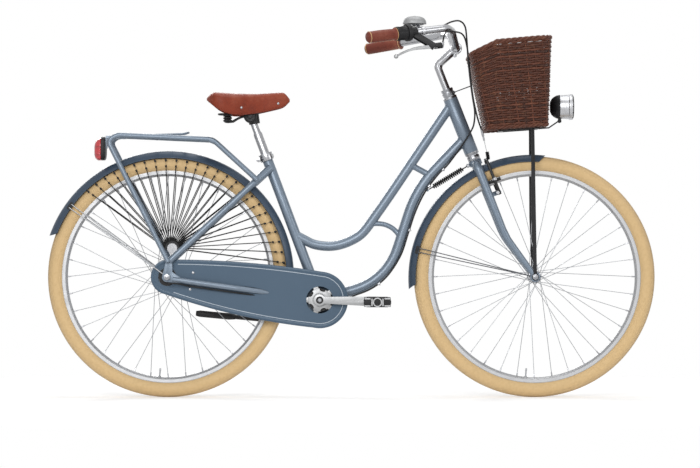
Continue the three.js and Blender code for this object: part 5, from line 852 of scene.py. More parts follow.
def dress_wheel(which, axle, body, flange_span, flange_radius, rubber):
    tyre_profile = []
    for i in range(41):
        turn = radians(-58 + 296 * i / 40)
        tyre_profile.append((334.8 + 23.2 * sin(turn), 23.8 * cos(turn)))
    tyre_profile += [(314.4, -11.9), (308.6, 0), (314.4, 11.9)]
    piece(f"{which}_tyre_carcass", turned(tyre_profile, axle, ACROSS, 160, closed=True), rubber, body,
          40, [f"{which}_tyre"], "tyre")
    # the rim's left half, from the middle of its well round to the middle of its spoke bed
    half = [
        (308, 0), (309, 4), (313, 12.3), (315.4, 12.6), (316, 13.2), (315.2, 14), (314, 14.1), (313.6, 13.8),
        (305.6, 13.6), (304.8, 13), (300.5, 8.4), (299, 6.4), (298.6, 0)]
    rim_profile = half + [(radius, -y) for radius, y in half[-2:0:-1]]
    hoop = turned(rim_profile, axle, ACROSS, 160, closed=True)
    piece(f"{which}_rim_hoop", hoop, RIM, body, 25, [f"{which}_rim"])
    wires, nipples = [], []
    for i in range(SPOKES):
        side = -1 if i % 2 == 0 else 1
        leading = 1 if (i // 2) % 2 == 0 else -1
        rim_turn = radians(360 / SPOKES * i)
        hub_turn = rim_turn + leading * radians(60)
        y = side * (flange_span / 2 + leading * FLANGE_FACE + (2 if leading > 0 else 0))
        inner = polar(axle, flange_radius - 4, hub_turn, y)
        outer = polar(axle, 301.2, rim_turn, side * 1.68)
        way = (outer - inner).normalized()
        wires.append(swept([inner, outer], 0.98, 10))
        nipples.append(turned([(1.7, -13), (2.1, -12), (2.1, -1), (3.0, 0), (3.0, 1.5)], outer, way, 10))
        head = inner - ACROSS * (side * leading * 0.6)
        wires.append(turned([(0, -1.4), (1.7, -1.0), (1.9, 0), (1.7, 1.0), (0, 1.4)], head, ACROSS, 12))
    piece(f"{which}_spokes", wires, SPOKE, body)
    piece(f"{which}_nipples", nipples, ALLOY, body, 30, slot="bright_steel")
    root = polar(axle, 299, radians(265))
    stem = turned(
        [(3.6, -1), (3.6, 3), (2.2, 4), (2.2, 18), (2.7, 18.5), (2.7, 24), (1.6, 26)], root, axle - root, 16)
    piece(f"{which}_valve", stem, SPOKE, body, 30)


def dress_wheels():
    dress_wheel("rear", REAR_AXLE, "rear_wheel", 54, 44, cream_rubber("rear_tyre_rubber", REAR_AXLE))
    dress_wheel("front", FRONT_AXLE, "front_wheel", 60, 20, cream_rubber("front_tyre_rubber", FRONT_AXLE))
    for name in ("rear_hub", "front_hub"):
        skinned(name, ALLOY, 32)
    for name in ("rear_axle", "front_axle"):
        skinned(name, STEEL, 32, 0.5)


# Chain case, chain and cranks
def belt(rear, rear_radius, front, front_radius, top_bulge=0, bottom_bulge=0, steps=36):
    """The outline round two circles, its long sides bowed outwards."""
    distance = hypot(front.x - rear.x, front.z - rear.z)
    lean = atan2(front.z - rear.z, front.x - rear.x)
    spread = asin((front_radius - rear_radius) / distance)
    top, bottom = lean + pi / 2 + spread, lean - pi / 2 - spread

    def on(centre, radius, turn):
        return (centre.x + radius * cos(turn), centre.z + radius * sin(turn))

    def arc(centre, radius, start, stop):
        return [on(centre, radius, start + (stop - start) * i / steps) for i in range(steps + 1)]

    def bow(a, b, turn, bulge):
        cx = (a[0] + b[0]) / 2 + 2 * bulge * cos(turn)
        cz = (a[1] + b[1]) / 2 + 2 * bulge * sin(turn)
        return [tuple((1 - t) ** 2 * p + 2 * t * (1 - t) * c + t * t * q
                      for p, c, q in zip(a, (cx, cz), b)) for t in (i / steps for i in range(1, steps))]

    rear_arc = arc(rear, rear_radius, top, bottom + 2 * pi)
    front_arc = arc(front, front_radius, bottom, top)
    return (rear_arc + bow(rear_arc[-1], front_arc[0], bottom, bottom_bulge) + front_arc
            + bow(front_arc[-1], rear_arc[0], top, top_bulge))


def case_outline(inset):
    """The chain case in the side view, drawn in by inset."""
    return belt(REAR_AXLE + at(3, 0, 0), 52 - inset, BOTTOM_BRACKET, 84 - inset, 9, 13)


def stacked(outlines):
    """A plate from outlines in the side view, each with its place across."""
    return lofted([[at(x, y, z) for x, z in outline] for outline, y in outlines])


def carved(name, form, cutters, finish, body, smooth, stands_for=()):
    """A solid with other solids cut out of it."""
    made = piece(name, form, finish, body, smooth, stands_for)
    for i, cutter in enumerate(cutters):
        tool = piece(f"cutter_{i}", cutter, finish, body)
        cut = made.modifiers.new("cut", "BOOLEAN")
        cut.operation = "DIFFERENCE"
        cut.solver = "EXACT"
        cut.object = tool
        bpy.context.view_layer.update()
        shaped = bpy.data.meshes.new_from_object(made.evaluated_get(bpy.context.evaluated_depsgraph_get()))
        made.modifiers.clear()
        made.data = shaped
        bpy.data.objects.remove(tool)
    made.data.polygons.foreach_set("use_smooth", [True] * len(made.data.polygons))
    made.data.set_sharp_from_angle(angle=radians(smooth))
    return made


def dress_chain_case():
    shell = stacked([
        (case_outline(0), -52.5), (case_outline(0), -56.4), (case_outline(0.7), -58), (case_outline(2.4), -59),
        (case_outline(9), -59), (case_outline(9.8), -58.6), (case_outline(11), -58.6)])
    cutters = [
        swept([BOTTOM_BRACKET - ACROSS * 20, BOTTOM_BRACKET - ACROSS * 80], 40, 64),
        swept([REAR_AXLE - ACROSS * 20, REAR_AXLE - ACROSS * 80], 27, 64),
        swept(bent(chainstay_line(-1, 16), 60, 10), 9.4, 24),
        stacked([(case_outline(1.8), -40), (case_outline(1.8), -56.8)]),
    ]
    carved("chain_case_shell", shell, cutters, CASE, "frame", 32, ["chain_case_outer"])
    skinned("chain_case_inner", CASE, 36)
    # the white line, open where it would run close round the rear axle
    line = [at(x, -58.75, z) for x, z in case_outline(14)]
    keep = [p for p in line if (p - REAR_AXLE + ACROSS * 58.75).length > 44]
    breaks = [i for i in range(len(keep) - 1) if (keep[i + 1] - keep[i]).length > 30]
    flat = [(0.25, 0.9), (0.25, -0.9), (-0.25, -0.9), (-0.25, 0.9)]
    pin, start = [], 0
    for stop in breaks + [len(keep) - 1]:
        run = keep[start:stop + 1]
        start = stop + 1
        if len(run) > 2:
            pin.append(swept(run, 1.0, outline=flat, side=ACROSS))
    piece("case_pinstripe", pin, WHITE_LINE, "frame", 30)
    screws = []
    for x, z in ((-468.1, 370.5), (-477.0, 321.4)):
        screws.append(turned(
            [(0, -1.6), (2.2, -1.6), (3.8, -0.7), (4.2, 0.4), (4.2, 1)], at(x, -59, z), ACROSS, 20))
    piece("case_screws", screws, ALLOY, "frame", 30)
    # painted shade: a black ring standing in for the shade inside the case's opening round the rear axle
    opening_shade = turned([(9.6, -57), (26.4, -57), (26.4, -55.6), (9.6, -55.6)], REAR_AXLE, ACROSS, 48, closed=True)
    piece("case_opening_shade", opening_shade, BLACK, "frame", 30)


CRANK_WAY = at(cos(radians(1.5)), 0, -sin(radians(1.5)))  # along the right arm


def deepened(side):
    """What makes a crank arm's blade a little deeper between its two round ends."""
    way = CRANK_WAY * -side
    over = at(-way.z, 0, way.x)

    def deeper(place):
        away = place - BOTTOM_BRACKET
        reach = away.dot(way)
        if away.y * side < 58 or not 12 < reach < 178:
            return place
        share = min(1, (reach - 12) / 20)
        return place + over * (away.dot(over) * 0.17 * share)

    return deeper


def pedal_trim(side):
    """The bright bars and ring on the inner and the outer face of a pedal."""
    middle = BOTTOM_BRACKET - CRANK_WAY * (170 * side)
    trims = []
    for way, face in ((-1, 86), (1, 184)):
        flat = middle + ACROSS * (side * (face + way * 0.4))
        for x in (-29, 29):
            for z in (-10.6, 10.6):
                start = flat + at(x - 8.5, 0, z)
                trims.append(swept([start, start + AHEAD * 17], 1.0, outline=outline_box(1.6, 1.9), side=ACROSS))
        trims.append(turned(
            [(10.4, -0.8), (13.6, -0.8), (13.6, 0.8), (10.4, 0.8)], flat, ACROSS, 32, closed=True))
        for x in (-16, 16):
            start = flat + at(x, 0, -11)
            trims.append(swept([start, start + UP * 22], 1.0, outline=outline_box(1.6, 1.7), side=ACROSS))
    return together(*trims)


def dress_drive():
    skinned("rear_sprocket", STEEL, 32)
    skinned("chain", SHADOW_STEEL, 32, slot="chain_steel")
    skinned("chainring", BLACK_STEEL, 32)
    for side, name in SIDES[::-1]:
        skinned(f"crank_arm_{name}", SATIN, 30, 1.1, deepened(side))
    for side, name in SIDES:
        skinned(f"pedal_{name}", BLACK, 30, 0.7)
        piece(f"pedal_trim_{name}", pedal_trim(side), SATIN, f"pedal_{name}", 30)
    disc = turned([
        (12, -64), (19, -66), (20.4, -66), (21, -64.4), (32.8, -63.6), (34.2, -62.8), (34.2, -61.4), (33.6, -60.8),
        (12, -60.8)], BOTTOM_BRACKET, ACROSS, 72, closed=True)
    notches = []
    for i in range(5):
        turn = radians(2 + 72 * i)
        out, beside = at(cos(turn), 0, sin(turn)), at(-sin(turn), 0, cos(turn))
        oval = [beside * (9.4 * cos(t)) + out * (6 * sin(t)) for t in turns_of(28)]
        notch = BOTTOM_BRACKET + out * 31.6
        notches.append(lofted([[notch + p - ACROSS * y for p in oval] for y in (50, 74)]))
    carved("crank_disc", disc, notches, SATIN, "crankset", 30)
    shade_disc = turned([(14, -57.8), (34, -57.8), (34, -57), (14, -57)], BOTTOM_BRACKET, ACROSS, 60, closed=True)
    piece("chainring_shade", shade_disc, BLACK, "crankset", 30)
    caps, bolts = [], []
    for side in (-1, 1):
        end = BOTTOM_BRACKET + ACROSS * (side * 79.2)
        caps.append(turned(
            [(6.2, 1.6), (9.6, 1.6), (10.8, 0.6), (11.2, -1), (6.2, -1)], end, ACROSS * side, 40, closed=True))
        bolts.append(turned([(0, 0.4), (4.8, 0.4), (6, -0.4), (6, -2), (0, -2)], end, ACROSS * side, 32))
    piece("crank_caps", caps, BLACK, "crankset", 30)
    piece("crank_bolts", bolts, STEEL, "crankset", 30)
    skinned("kickstand", BLACK_STEEL, 40, 0.6)


# Saddle and seat post
SADDLE_TOP, SADDLE_REAR, SADDLE_LENGTH, SADDLE_HALF, SADDLE_DEPTH = 903, -428.6, 245.6, 101, 66


def look_up(table, share):
    """A straight reading of a table of (share, value)."""
    for (a, p), (b, q) in zip(table, table[1:]):
        if share <= b:
            t = (share - a) / (b - a)
            return p + (q - p) * t
    return table[-1][1]


def eased(table, share, reach):
    """A reading rounded over the table's corners."""
    reads = [look_up(table, min(max(share + d * reach, 0), 1)) for d in (-1, -0.5, 0, 0.5, 1)]
    return (reads[0] + 2 * reads[1] + 3 * reads[2] + 2 * reads[3] + reads[4]) / 9


def saddle_section(share, inset=0.0):
    """The cover's outline across, from the edge of the right skirt over the top to the left one."""
    widths = [(0, 0.5), (0.04, 0.8), (0.1, 0.96), (0.2, 1), (0.35, 0.86), (0.5, 0.55), (0.65, 0.33), (0.85, 0.24),
              (0.96, 0.17), (1, 0.08)]
    tops = [(0, -0.24), (0.03, -0.1), (0.085, 0.05), (0.18, 0.03), (0.35, -0.01), (0.6, -0.02), (0.82, 0.03),
            (0.93, 0.05), (0.965, -0.08), (1, -0.27)]
    skirts = [(0, 0.32), (0.124, 0.72), (0.22, 0.9), (0.3, 1), (0.44, 1.01), (0.63, 0.91), (0.8, 0.77), (0.9, 0.68),
              (0.945, 0.6), (1, 0.34)]
    half = SADDLE_HALF * eased(widths, share, 0.03) - inset
    top = SADDLE_TOP + SADDLE_DEPTH * eased(tops, share, 0.016) - inset
    bottom = SADDLE_TOP - SADDLE_DEPTH * eased(skirts, share, 0.03)
    x = SADDLE_REAR + SADDLE_LENGTH * share
    side = [(0.93, 1), (0.945, 0.8), (0.96, 0.6), (0.965, 0.42), (0.95, 0.28), (0.9, 0.17), (0.8, 0.09),
            (0.66, 0.045), (0.5, 0.022), (0.33, 0.008), (0.16, 0.001), (0, 0)]
    line = [(half * a, top - (top - bottom) * d) for a, d in side]
    return [at(x, y, z) for y, z in line] + [at(x, -y, z) for y, z in reversed(line[:-1])]


def dress_saddle():
    shares = [0, 0.006, 0.016, 0.03] + [0.05 + 0.9 * i / 34 for i in range(35)] + [0.97, 0.984, 0.994, 1]
    rings = []
    for share in shares:
        wall = 0.5 + 4.5 * min(1, share / 0.06, (1 - share) / 0.06)
        outer, inner = saddle_section(share), saddle_section(share, wall)
        rings.append(outer + inner[::-1])
    cover = piece("saddle_leather_top", lofted(rings), SADDLE, "seat", 60, ["saddle_cover"])
    soft = cover.modifiers.new("soft", "SUBSURF")
    soft.levels = soft.render_levels = 1
    seam = [saddle_section(0.03 + 0.94 * i / 60) for i in range(61)]
    edging = []
    for index in (0, -1):
        line = [ring[index] + at(0, 0.6 if index == 0 else -0.6, 3.4) for ring in seam]
        edging.append(swept(line, 1.2, 8))
    piece("saddle_edging", edging, SADDLE, "seat")
    rivets = []
    for share in (0.42, 0.86):
        ring = saddle_section(share)
        for sign, p in ((1, between(ring[1], ring[2], 0.7)), (-1, between(ring[-2], ring[-3], 0.7))):
            rivets.append(turned(
                [(0, 2.2), (2.2, 1.8), (3.8, 0.6), (4.2, -0.6), (0, -0.8)], p, ACROSS * sign + UP * 0.05, 20))
    piece("saddle_rivets", rivets, ALLOY, "seat", 40)
    dress_saddle_frame()
    skinned("seat_post", ALLOY, 34)
    skinned("seat_clamp_collar", ALLOY, 34, 0.5)
    skinned("seat_clamp_lever", ALLOY, 34, 0.6)


def dress_saddle_frame():
    """Two wires from the nose through the clamp into a coil each, joined by a bow under the cantle."""
    wires = []
    coil, wide, turns, facets = 9.5, 46, 3, 20
    bolt = at(-217.9, 0, 871)
    for side in (-1, 1):
        route = flowing([
            at(-214, side * 7, 872), at(-226, side * 15, 868), at(-262, side * 20, 853), at(-290, side * 22, 839),
            at(-322, side * 22, 834), at(-338, side * 25, 828), at(-352, side * 31, 819.6)], 6)
        for i in range(turns * facets + 1):
            turn = 2 * pi * i / facets
            route.append(at(
                -368 - coil * sin(turn), side * (wide - coil * cos(turn)),
                818.4 + 22.6 * i / (turns * facets)))
        route += flowing([route[-1], at(-384, side * 32, 841), at(-393, side * 22, 841), at(-395, 0, 841)], 6)[1:]
        wires.append(swept(route, 2.5, 12))
        wires.append(rod(bolt, bolt + ACROSS * (side * 9), 2.6, 16))
    piece("saddle_wires", wires, BLACK_STEEL, "seat", 60, ["saddle_frame"])
    # the clamp: a drum across the wires, with ribbed cheeks, a nut each side and a socket for the post
    clamp = at(-300.5, 0, 834.4)
    half = [(0, 31), (14.2, 31), (15.6, 29.6), (15.6, 23.4), (18.6, 22.6), (19.2, 21.6)]
    drum = turned([(r, -y) for r, y in half] + half[::-1], clamp, ACROSS, 40)
    socket = swept([at(-293, 0, 842), at(-287.6, 0, 812.4)], lambda share: 17.6 - 1.4 * share, 36)
    ribs = []
    for side in (-1, 1):
        cheek = clamp + ACROSS * (side * 30.4)
        for turn in turns_of(14):
            ribs.append(rod(polar(cheek, 6.6, turn), polar(cheek, 13.6, turn), 1.1, 8))
        ribs.append(rod(clamp + ACROSS * (side * 29), clamp + ACROSS * (side * 36), 6.2, 6))
    piece("saddle_clamp", [drum, socket, *ribs], BLACK_STEEL, "seat", 34)


# Fork, damper and front brake
def fork_leg(side):
    """A leg from the crown to the dropout, widening below the crown and tapering down its rake."""
    route = bent([
        on_steerer(377), on_steerer(376, 0, side * 44), on_steerer(146, 0, side * 48.5),
        FRONT_AXLE + ACROSS * (side * 53)], [32, 150])
    total = sum((b - a).length for a, b in zip(route, route[1:]))
    run, sizes = 0, []
    for i, p in enumerate(route):
        run += (p - route[i - 1]).length if i else 0
        share = run / total
        size = 10.5 + 3.5 * min(share / 0.2, 1) if share < 0.2 else 14 - 5.5 * (share - 0.2) / 0.8
        sizes.append(size * 0.995)
    return swept(route, lambda share: sizes[round(share * (len(route) - 1))], 28)


def dress_fork():
    crown = turned([(12.7, -17), (18.4, -17), (19, -16), (19, -1), (18.4, 0), (12.7, 0)], on_steerer(388),
                   STEER_UP, 48, closed=True)
    piece("fork_legs", [fork_leg(-1), fork_leg(1), crown], PAINT, "fork")
    skinned("fork", PAINT, 40)
    # the steering damper: a close coil between a straight end in the frame's lug and one in the fork's hook
    low, high = at(227.3, 0, 615.7), at(347.3, 0, 688.2)
    way = (high - low).normalized()
    first, last = low + way * 4.15, high - way * 4.15
    length = (last - first).length - 26
    u = way.cross(ACROSS).normalized()
    v = way.cross(u)
    steps = 17 * 20  # turns and the points on each
    spiral = []
    for i in range(steps + 1):
        turn = 2 * pi * i / 20
        grow = min(1, i / 14, (steps - i) / 14)
        spiral.append(first + way * (13 + length * i / steps) + (u * cos(turn) + v * sin(turn)) * 6.5 * grow)
    line = [first, first + way * 9] + spiral + [last - way * 9, last]
    piece("damper_coil", swept(line, 1.9, 12), BLACK_STEEL, ("frame", "fork", low, high), 60,
          ["steering_damper_spring"])
    hook = [high + u * 5 * cos(t) + way * 5 * sin(t) for t in (radians(20 * k) for k in range(19))]
    piece("damper_hook", [
        swept(hook, 1.3, 8), rod(high - ACROSS * 7, high + ACROSS * 7, 3.4, 20)], ALLOY, "fork", slot="bright_steel")
    for side, name in SIDES:
        arm = f"brake_arm_{name}"
        skinned(arm, BLACK_STEEL, 32, 0.6)
        pivot, pad = at(433.7, side * 44, 607.8), at(424, side * 44, 648)
        out = ACROSS * side
        piece(f"{arm}_bolts", [
            rod(pivot + out * 6, pivot + out * 12, 6, 6), rod(pad + out * 4, pad + out * 13, 4.6, 6),
            rod(pad + out * 3, pad + out * 7, 7, 24)], ALLOY, arm, 30)


# Stem, handlebar and controls
BAR_CENTRE = at(310.4, 0, 1036.8)
BAR_RADIUS, BAR_END = 11.1, 264  # the end's distance from the bar's corner
SPLAY, DROOP = radians(28), radians(7.5)
GRIPS = {-1: 92, 1: 118}  # lengths


def heading(side):
    """The way a grip points: back, out and a little down."""
    return at(-cos(SPLAY) * cos(DROOP), side * sin(SPLAY) * cos(DROOP), -sin(DROOP))


def bar_corner(side):
    """Where the bar turns back into its straight end."""
    return BAR_CENTRE + at(-31, side * 180, 50)


def on_bar(side, distance, out=0, down=0):
    """A place along the straight end of the bar, moved square to it."""
    square = at(sin(SPLAY), side * cos(SPLAY), 0)
    return bar_corner(side) + heading(side) * distance + square * out - UP * down


def leather_grip(side):
    """A wrapped grip: leather turned round the bar, its edges laced along the underside."""
    length = GRIPS[side]
    start, way = on_bar(side, BAR_END - length), heading(side)
    profile = [(11.4, 0), (18.6, 0), (19, 0.8), (19, 4.2), (18, 5.4)]
    count = 44
    for i in range(count + 1):
        share = i / count
        radius = 15.8 + 1.2 * sin(pi * share) ** 0.7
        band = 0.28 * cos(2 * pi * share * length / 6.5)
        profile.append((radius + band, 7.4 + (length - 9.5) * share))
    profile += [(15.2, length - 0.6), (13.4, length + 1.9), (0, length + 2.5)]
    under = (UP * -1 + way * UP.dot(way)).normalized()
    sidewise = way.cross(under)
    stitch = 5.2
    seam = []
    for i in range(int(length / stitch)):
        if i * stitch + 12 > length - 4:
            break
        middle = start + way * (10 + i * stitch) + under * 16.6
        seam.append(swept([
            middle - sidewise * 2.2, middle + under * 0.7, middle + sidewise * 2.2 + way * 2.4], 0.6, 6))
    for along, reach in ((1.6, 18.4), (length - 3.4, 16.2)):
        band = [(reach, -1.2), (reach + 0.9, -0.6), (reach + 0.9, 0.6), (reach, 1.2)]
        seam.append(turned(band, on_bar(side, BAR_END - length + along), way, 40, closed=True))
    return turned(profile, start, way, 40), together(*seam)


def dress_bar():
    neck = bent([on_steerer(553), on_steerer(691), BAR_CENTRE], 14)
    piece("stem_neck", swept(neck, lambda share: 11.1 + 1.4 * share ** 4, 32), ALLOY, "fork")
    skinned("stem", ALLOY, 32, 0.5)

    def half(side):
        return [
            BAR_CENTRE + ACROSS * (side * 42), BAR_CENTRE + at(-14, side * 100, 46), bar_corner(side),
            on_bar(side, BAR_END)]

    route = bent(half(-1)[::-1] + half(1), 38)
    sleeve = rod(BAR_CENTRE - ACROSS * 31, BAR_CENTRE + ACROSS * 31, 12.7, 36)
    piece("handlebar_tube", [swept(route, BAR_RADIUS, 32), sleeve], ALLOY, "fork", stands_for=["handlebar"])
    for side, name in SIDES:
        wrap, lacing = leather_grip(side)
        piece(f"grip_wrap_{name}", wrap, GRIP, "fork", 60, [f"grip_{name}"])
        piece(f"grip_lacing_{name}", lacing, LACE, "fork")
    skinned("twist_shifter", BLACK, 30, 0.6)
    skinned("brake_lever_body", BLACK, 32, 0.5)
    way = heading(-1)
    housing = turned(
        [(14.8, 0), (17, 1), (24.4, 8), (25.4, 11), (25.4, 19), (24.6, 20.2), (14.8, 20.2)], on_bar(-1, 118.2),
        way, 40, closed=True)
    mouth = on_bar(-1, 124, -15, -4)
    piece("shifter_housing", [
        housing, rod(mouth, mouth - way * 26, 5.4, 20), rod(mouth - way * 22, mouth - way * 34, 3.6, 20)],
        BLACK, "fork", 32)
    outlet, first = at(*BRAKE_ROUTE[0]), at(*BRAKE_ROUTE[1])
    run = (first - outlet).normalized()
    piece("lever_adjuster", [
        rod(outlet - run * 8, outlet + run * 5, 4.6, 12), rod(outlet + run * 5, outlet + run * 12, 3.4, 20)],
        ALLOY, "fork", 32)
    pull = flowing([
        at(250, -233.6, 1028), at(236, -241.4, 1029), at(214, -252.8, 1026.4), at(190, -266.4, 1023),
        at(166, -282, 1016), at(144, -298, 1006), at(129, -310.6, 997)], 6)
    count = len(pull) - 1
    blade = []
    for i, (here, (_, u, v)) in enumerate(zip(pull, directions(pull, UP))):
        share = i / count
        tall = 5.6 * (1 - 0.35 * share) * (0.8 + 0.3 * sin(pi * min(share * 1.6, 1)))
        flat = [(1, 0.35), (0.8, 0.9), (-0.8, 0.9), (-1, 0.35), (-1, -0.35), (-0.8, -0.9), (0.8, -0.9), (1, -0.35)]
        blade.append([here + u * (p * tall) + v * (q * 3.1) for p, q in flat])
    tip = [(6.6 * sin(k * pi / 10), -6.6 * cos(k * pi / 10)) for k in range(11)]
    piece("brake_lever_blade_skin", [lofted(blade), turned(tip, pull[-1], UP, 24)], SATIN, "brake_lever",
          50, ["brake_lever_blade"])
    ribs = []
    start = on_bar(-1, BAR_END - GRIPS[-1] - 0.3 - 33)
    u = way.cross(UP).normalized()
    v = way.cross(u)
    for turn in turns_of(28):
        out = u * cos(turn) + v * sin(turn)
        ribs.append(swept(
            [start + way * 5 + out * 20.6, start + way * 16 + out * 18.9, start + way * 29 + out * 20.2], 1.0, 6))
    piece("shifter_ribs", ribs, BLACK, "twist_shifter", 60)


def dress_bell():
    foot = at(184.3, -193.5, 1097.4)
    dome = [(34.4, 0), (35, 1.2), (34.4, 2.4)]
    for i in range(1, 16):
        turn = radians(90 * i / 16)
        dome.append((34.4 * cos(turn) ** 0.6, 2.4 + 20.4 * sin(turn)))
    inside = [(r * 0.95, z * 0.95) for r, z in reversed(dome)]
    shell = turned(dome + [(0.2, 22.8), (0.2, 21.4)] + inside[:-2], foot, UP, 56, closed=True)
    cap = turned([(4.4, 22.2), (4.4, 23.2), (3.4, 23.7), (0, 23.8)], foot, UP, 24)
    piece("bell_dome", [shell, cap], BELL, "fork", 40)
    middle, waist = at(192.3, -193.5, 1094.8), 1094

    def lowered(place):
        """The inner bell stays under the dome."""
        if place.z < waist:
            return place
        away = place - middle
        return at(foot.x + away.x * 0.84, foot.y + away.y * 0.84, middle.z + away.z * 0.6)

    skinned("bell", LAMP, 36, 0, lowered, "polished_aluminium")
    skinned("bell_lever", BLACK, 36, 0.4)


# Basket, woven from stained strands over upright stakes
RING_POINTS, STAKES, ROWS = 264, 44, 37


def basket_ring(share, inset):
    """Points (x, y) round the basket at a share of its height, inset from its outside."""
    back = 148 + 50 * share
    length = 182 + 59 * share - 2 * inset
    half = 165 + 30 * share - inset
    corner = 31 + 21 * share - inset
    middle_x = 544.5 - back + (182 + 59 * share) / 2
    outline = []
    for q, (sx, sy) in enumerate([(1, 1), (-1, 1), (-1, -1), (1, -1)]):
        for k in range(13):
            turn = pi / 2 * (q + k / 12)
            outline.append((
                sx * (length / 2 - corner) + corner * cos(turn),
                sy * (half - corner) + corner * sin(turn)))
    outline.append(outline[0])
    steps = [dist(a, b) for a, b in zip(outline, outline[1:])]
    total = sum(steps)
    points, run, index = [], 0.0, 0
    for i in range(RING_POINTS):
        goal = total * i / RING_POINTS
        while run + steps[index] < goal:
            run += steps[index]
            index += 1
        t = (goal - run) / steps[index]
        a, b = outline[index], outline[index + 1]
        points.append((middle_x + a[0] + (b[0] - a[0]) * t, a[1] + (b[1] - a[1]) * t))
    return points


def in_basket(x, y, share):
    """The point at a share of the height, between the sloping floor and the rim with its dip at the back."""
    back, dip_length = 346.5, 78
    slope = tan(radians(5))
    floor = 790 + (x - 396.5) * tan(radians(4))
    rim = 1045 + (x - back) * slope
    dip = 1045 - 40.8 + (x - back + 18) / 96 * (40.8 + dip_length * slope)
    if x < back + dip_length:
        rim = min(rim, dip)
    return at(x, y, floor + (rim - floor) * share)


def outward(ring, i):
    """The way out of the basket at one point of a ring."""
    before, after = ring[i - 1], ring[(i + 1) % len(ring)]
    return at(after[1] - before[1], before[0] - after[0], 0).normalized()


def span(values, spare):
    """The least and the greatest value, or the spare pair where there is none."""
    return (min(values), max(values)) if values else spare


def dress_basket():
    per = RING_POINTS // STAKES
    verts, faces, tones = [], [], []

    def strand(line, radius, tone, sides=7, closed=True, flat=1.0):
        """Adds one strand along a line of points, every point of it with the strand's tone."""
        start = len(verts)
        shape = outline_round(sides)
        total = len(line)
        for i, p in enumerate(line):
            back = line[(i - 1) % total] if closed else line[max(i - 1, 0)]
            ahead = line[(i + 1) % total] if closed else line[min(i + 1, total - 1)]
            run = (ahead - back).normalized()
            u = run.cross(UP if abs(run.z) < 0.8 else AHEAD).normalized()
            v = run.cross(u)
            for a, b in shape:
                verts.append(p + u * (a * radius) + v * (b * radius * flat))
                tones.append(tone)
        runs = total if closed else total - 1
        for i in range(runs):
            for k in range(sides):
                j = (k + 1) % sides
                a, b = start + i * sides, start + ((i + 1) % total) * sides
                faces.append((a + k, a + j, b + j, b + k))
        if not closed:
            faces.append(tuple(start + k for k in reversed(range(sides))))
            faces.append(tuple(start + (total - 1) * sides + k for k in range(sides)))

    def tone_of(index):
        """A tone from 0 to 1, different from strand to strand."""
        return 0.5 + 0.5 * sin(index * 12.9898 + 4.1) * sin(index * 3.7)

    for row in range(ROWS):
        share = 0.025 + 0.935 * row / (ROWS - 1)
        ring = basket_ring(share, 4.2)
        line = []
        for i, (x, y) in enumerate(ring):
            wave = cos(pi * i / per + pi * row)
            rise = 0.5 * sin(i * 0.9 + row)
            line.append(in_basket(x, y, share) + UP * rise + outward(ring, i) * (2.7 * wave))
        strand(line, 3.05, tone_of(row) * 0.8, flat=1.1)
    for stake in range(STAKES):
        shares = [0.985 * k / 19 for k in range(20)]
        line = [in_basket(*basket_ring(share, 4.2)[stake * per], share) for share in shares]
        strand(line, 2.4, tone_of(stake + 70), closed=False)
    # three strands laid up as a rope along the rim and round the foot
    for share, radius, inset in ((0.985, 3.6, 4.4), (0.02, 3.0, 4.2)):
        ring = basket_ring(share, inset)
        for k in range(3):
            line = []
            for i, (x, y) in enumerate(ring):
                turn = 2 * pi * (i / 12 + k / 3)
                line.append(in_basket(x, y, share) + outward(ring, i) * (3.4 * cos(turn))
                            + UP * (3.4 * sin(turn)))
            strand(line, radius, tone_of(k + 130))
    # the floor: strands across, woven over strands along
    level = 0.03
    floor = basket_ring(level, 8)
    for i in range(21):
        y = -150 + 15 * i
        a, b = span([p[0] for p in floor if abs(p[1] - y) < 6], (400, 560))
        xs = [a + (b - a) * k / 24 for k in range(25)]
        line = [in_basket(x, y, level) + UP * (1.6 * cos(pi * (k / 2 + i))) for k, x in enumerate(xs)]
        strand(line, 2.8, tone_of(i + 40), 6, False)
    for i in range(13):
        x = 402 + 13.6 * i
        a, b = span([p[1] for p in floor if abs(p[0] - x) < 6], (-150, 150))
        line = [in_basket(x, a + (b - a) * k / 24, level) for k in range(25)]
        strand(line, 2.4, tone_of(i + 90), 6, False)
    mesh = bpy.data.meshes.new("basket_weave")
    mesh.from_pydata([tuple(p * METRES) for p in verts], [], faces)
    tone = mesh.attributes.new("strand_tone", "FLOAT", "POINT")
    tone.data.foreach_set("value", tones)
    settle("basket_weave", mesh, WICKER, "fork", 80, ["basket"])


def dress_front_load():
    stay_middle = 536.5

    def slimmed(place):
        """The upright stays a little narrower than the CAD's flat bars."""
        if abs(place.y) < 40 or not 392 < place.z < 770:
            return place
        return at(stay_middle + (place.x - stay_middle) * 0.7, place.y, place.z)

    skinned("basket_support", BLACK_STEEL, 34, 0.3, slimmed)
    shell = [(0.2, 0), (10, 0.4), (17, 1.8), (23.5, 5), (28.8, 11), (33, 18.5), (35, 28), (36, 50), (36.2, 54.6),
             (38.0, 56.6), (38.2, 58), (38.2, 64.6), (37.4, 66), (35.2, 66.4), (34.4, 64.8)]
    glass = [(34.6, 64.4), (34.0, 66.6), (28, 69.2), (18, 70.9), (0.2, 71.4)]
    back = at(591.5, 0, 863)
    piece("headlight_shell", turned(shell, back, AHEAD, 56), LAMP, "headlight", 30)
    cap = [(0.2, -0.8), (10.4, -0.4), (17.6, 1.2), (24.3, 4.6), (29.7, 10.8), (33.9, 18.4), (35.8, 27), (36, 28.6),
           (34.4, 28.2), (32, 19), (27, 12), (0.2, 6)]
    piece("headlight_back", turned(cap, back, AHEAD, 56, closed=True), BLACK, "headlight", 40)
    piece("headlight_glass", turned(glass, back, AHEAD, 56), GLASS, "headlight", 30)
    skinned("headlight", BLACK, 34, slot="lamp_shell")


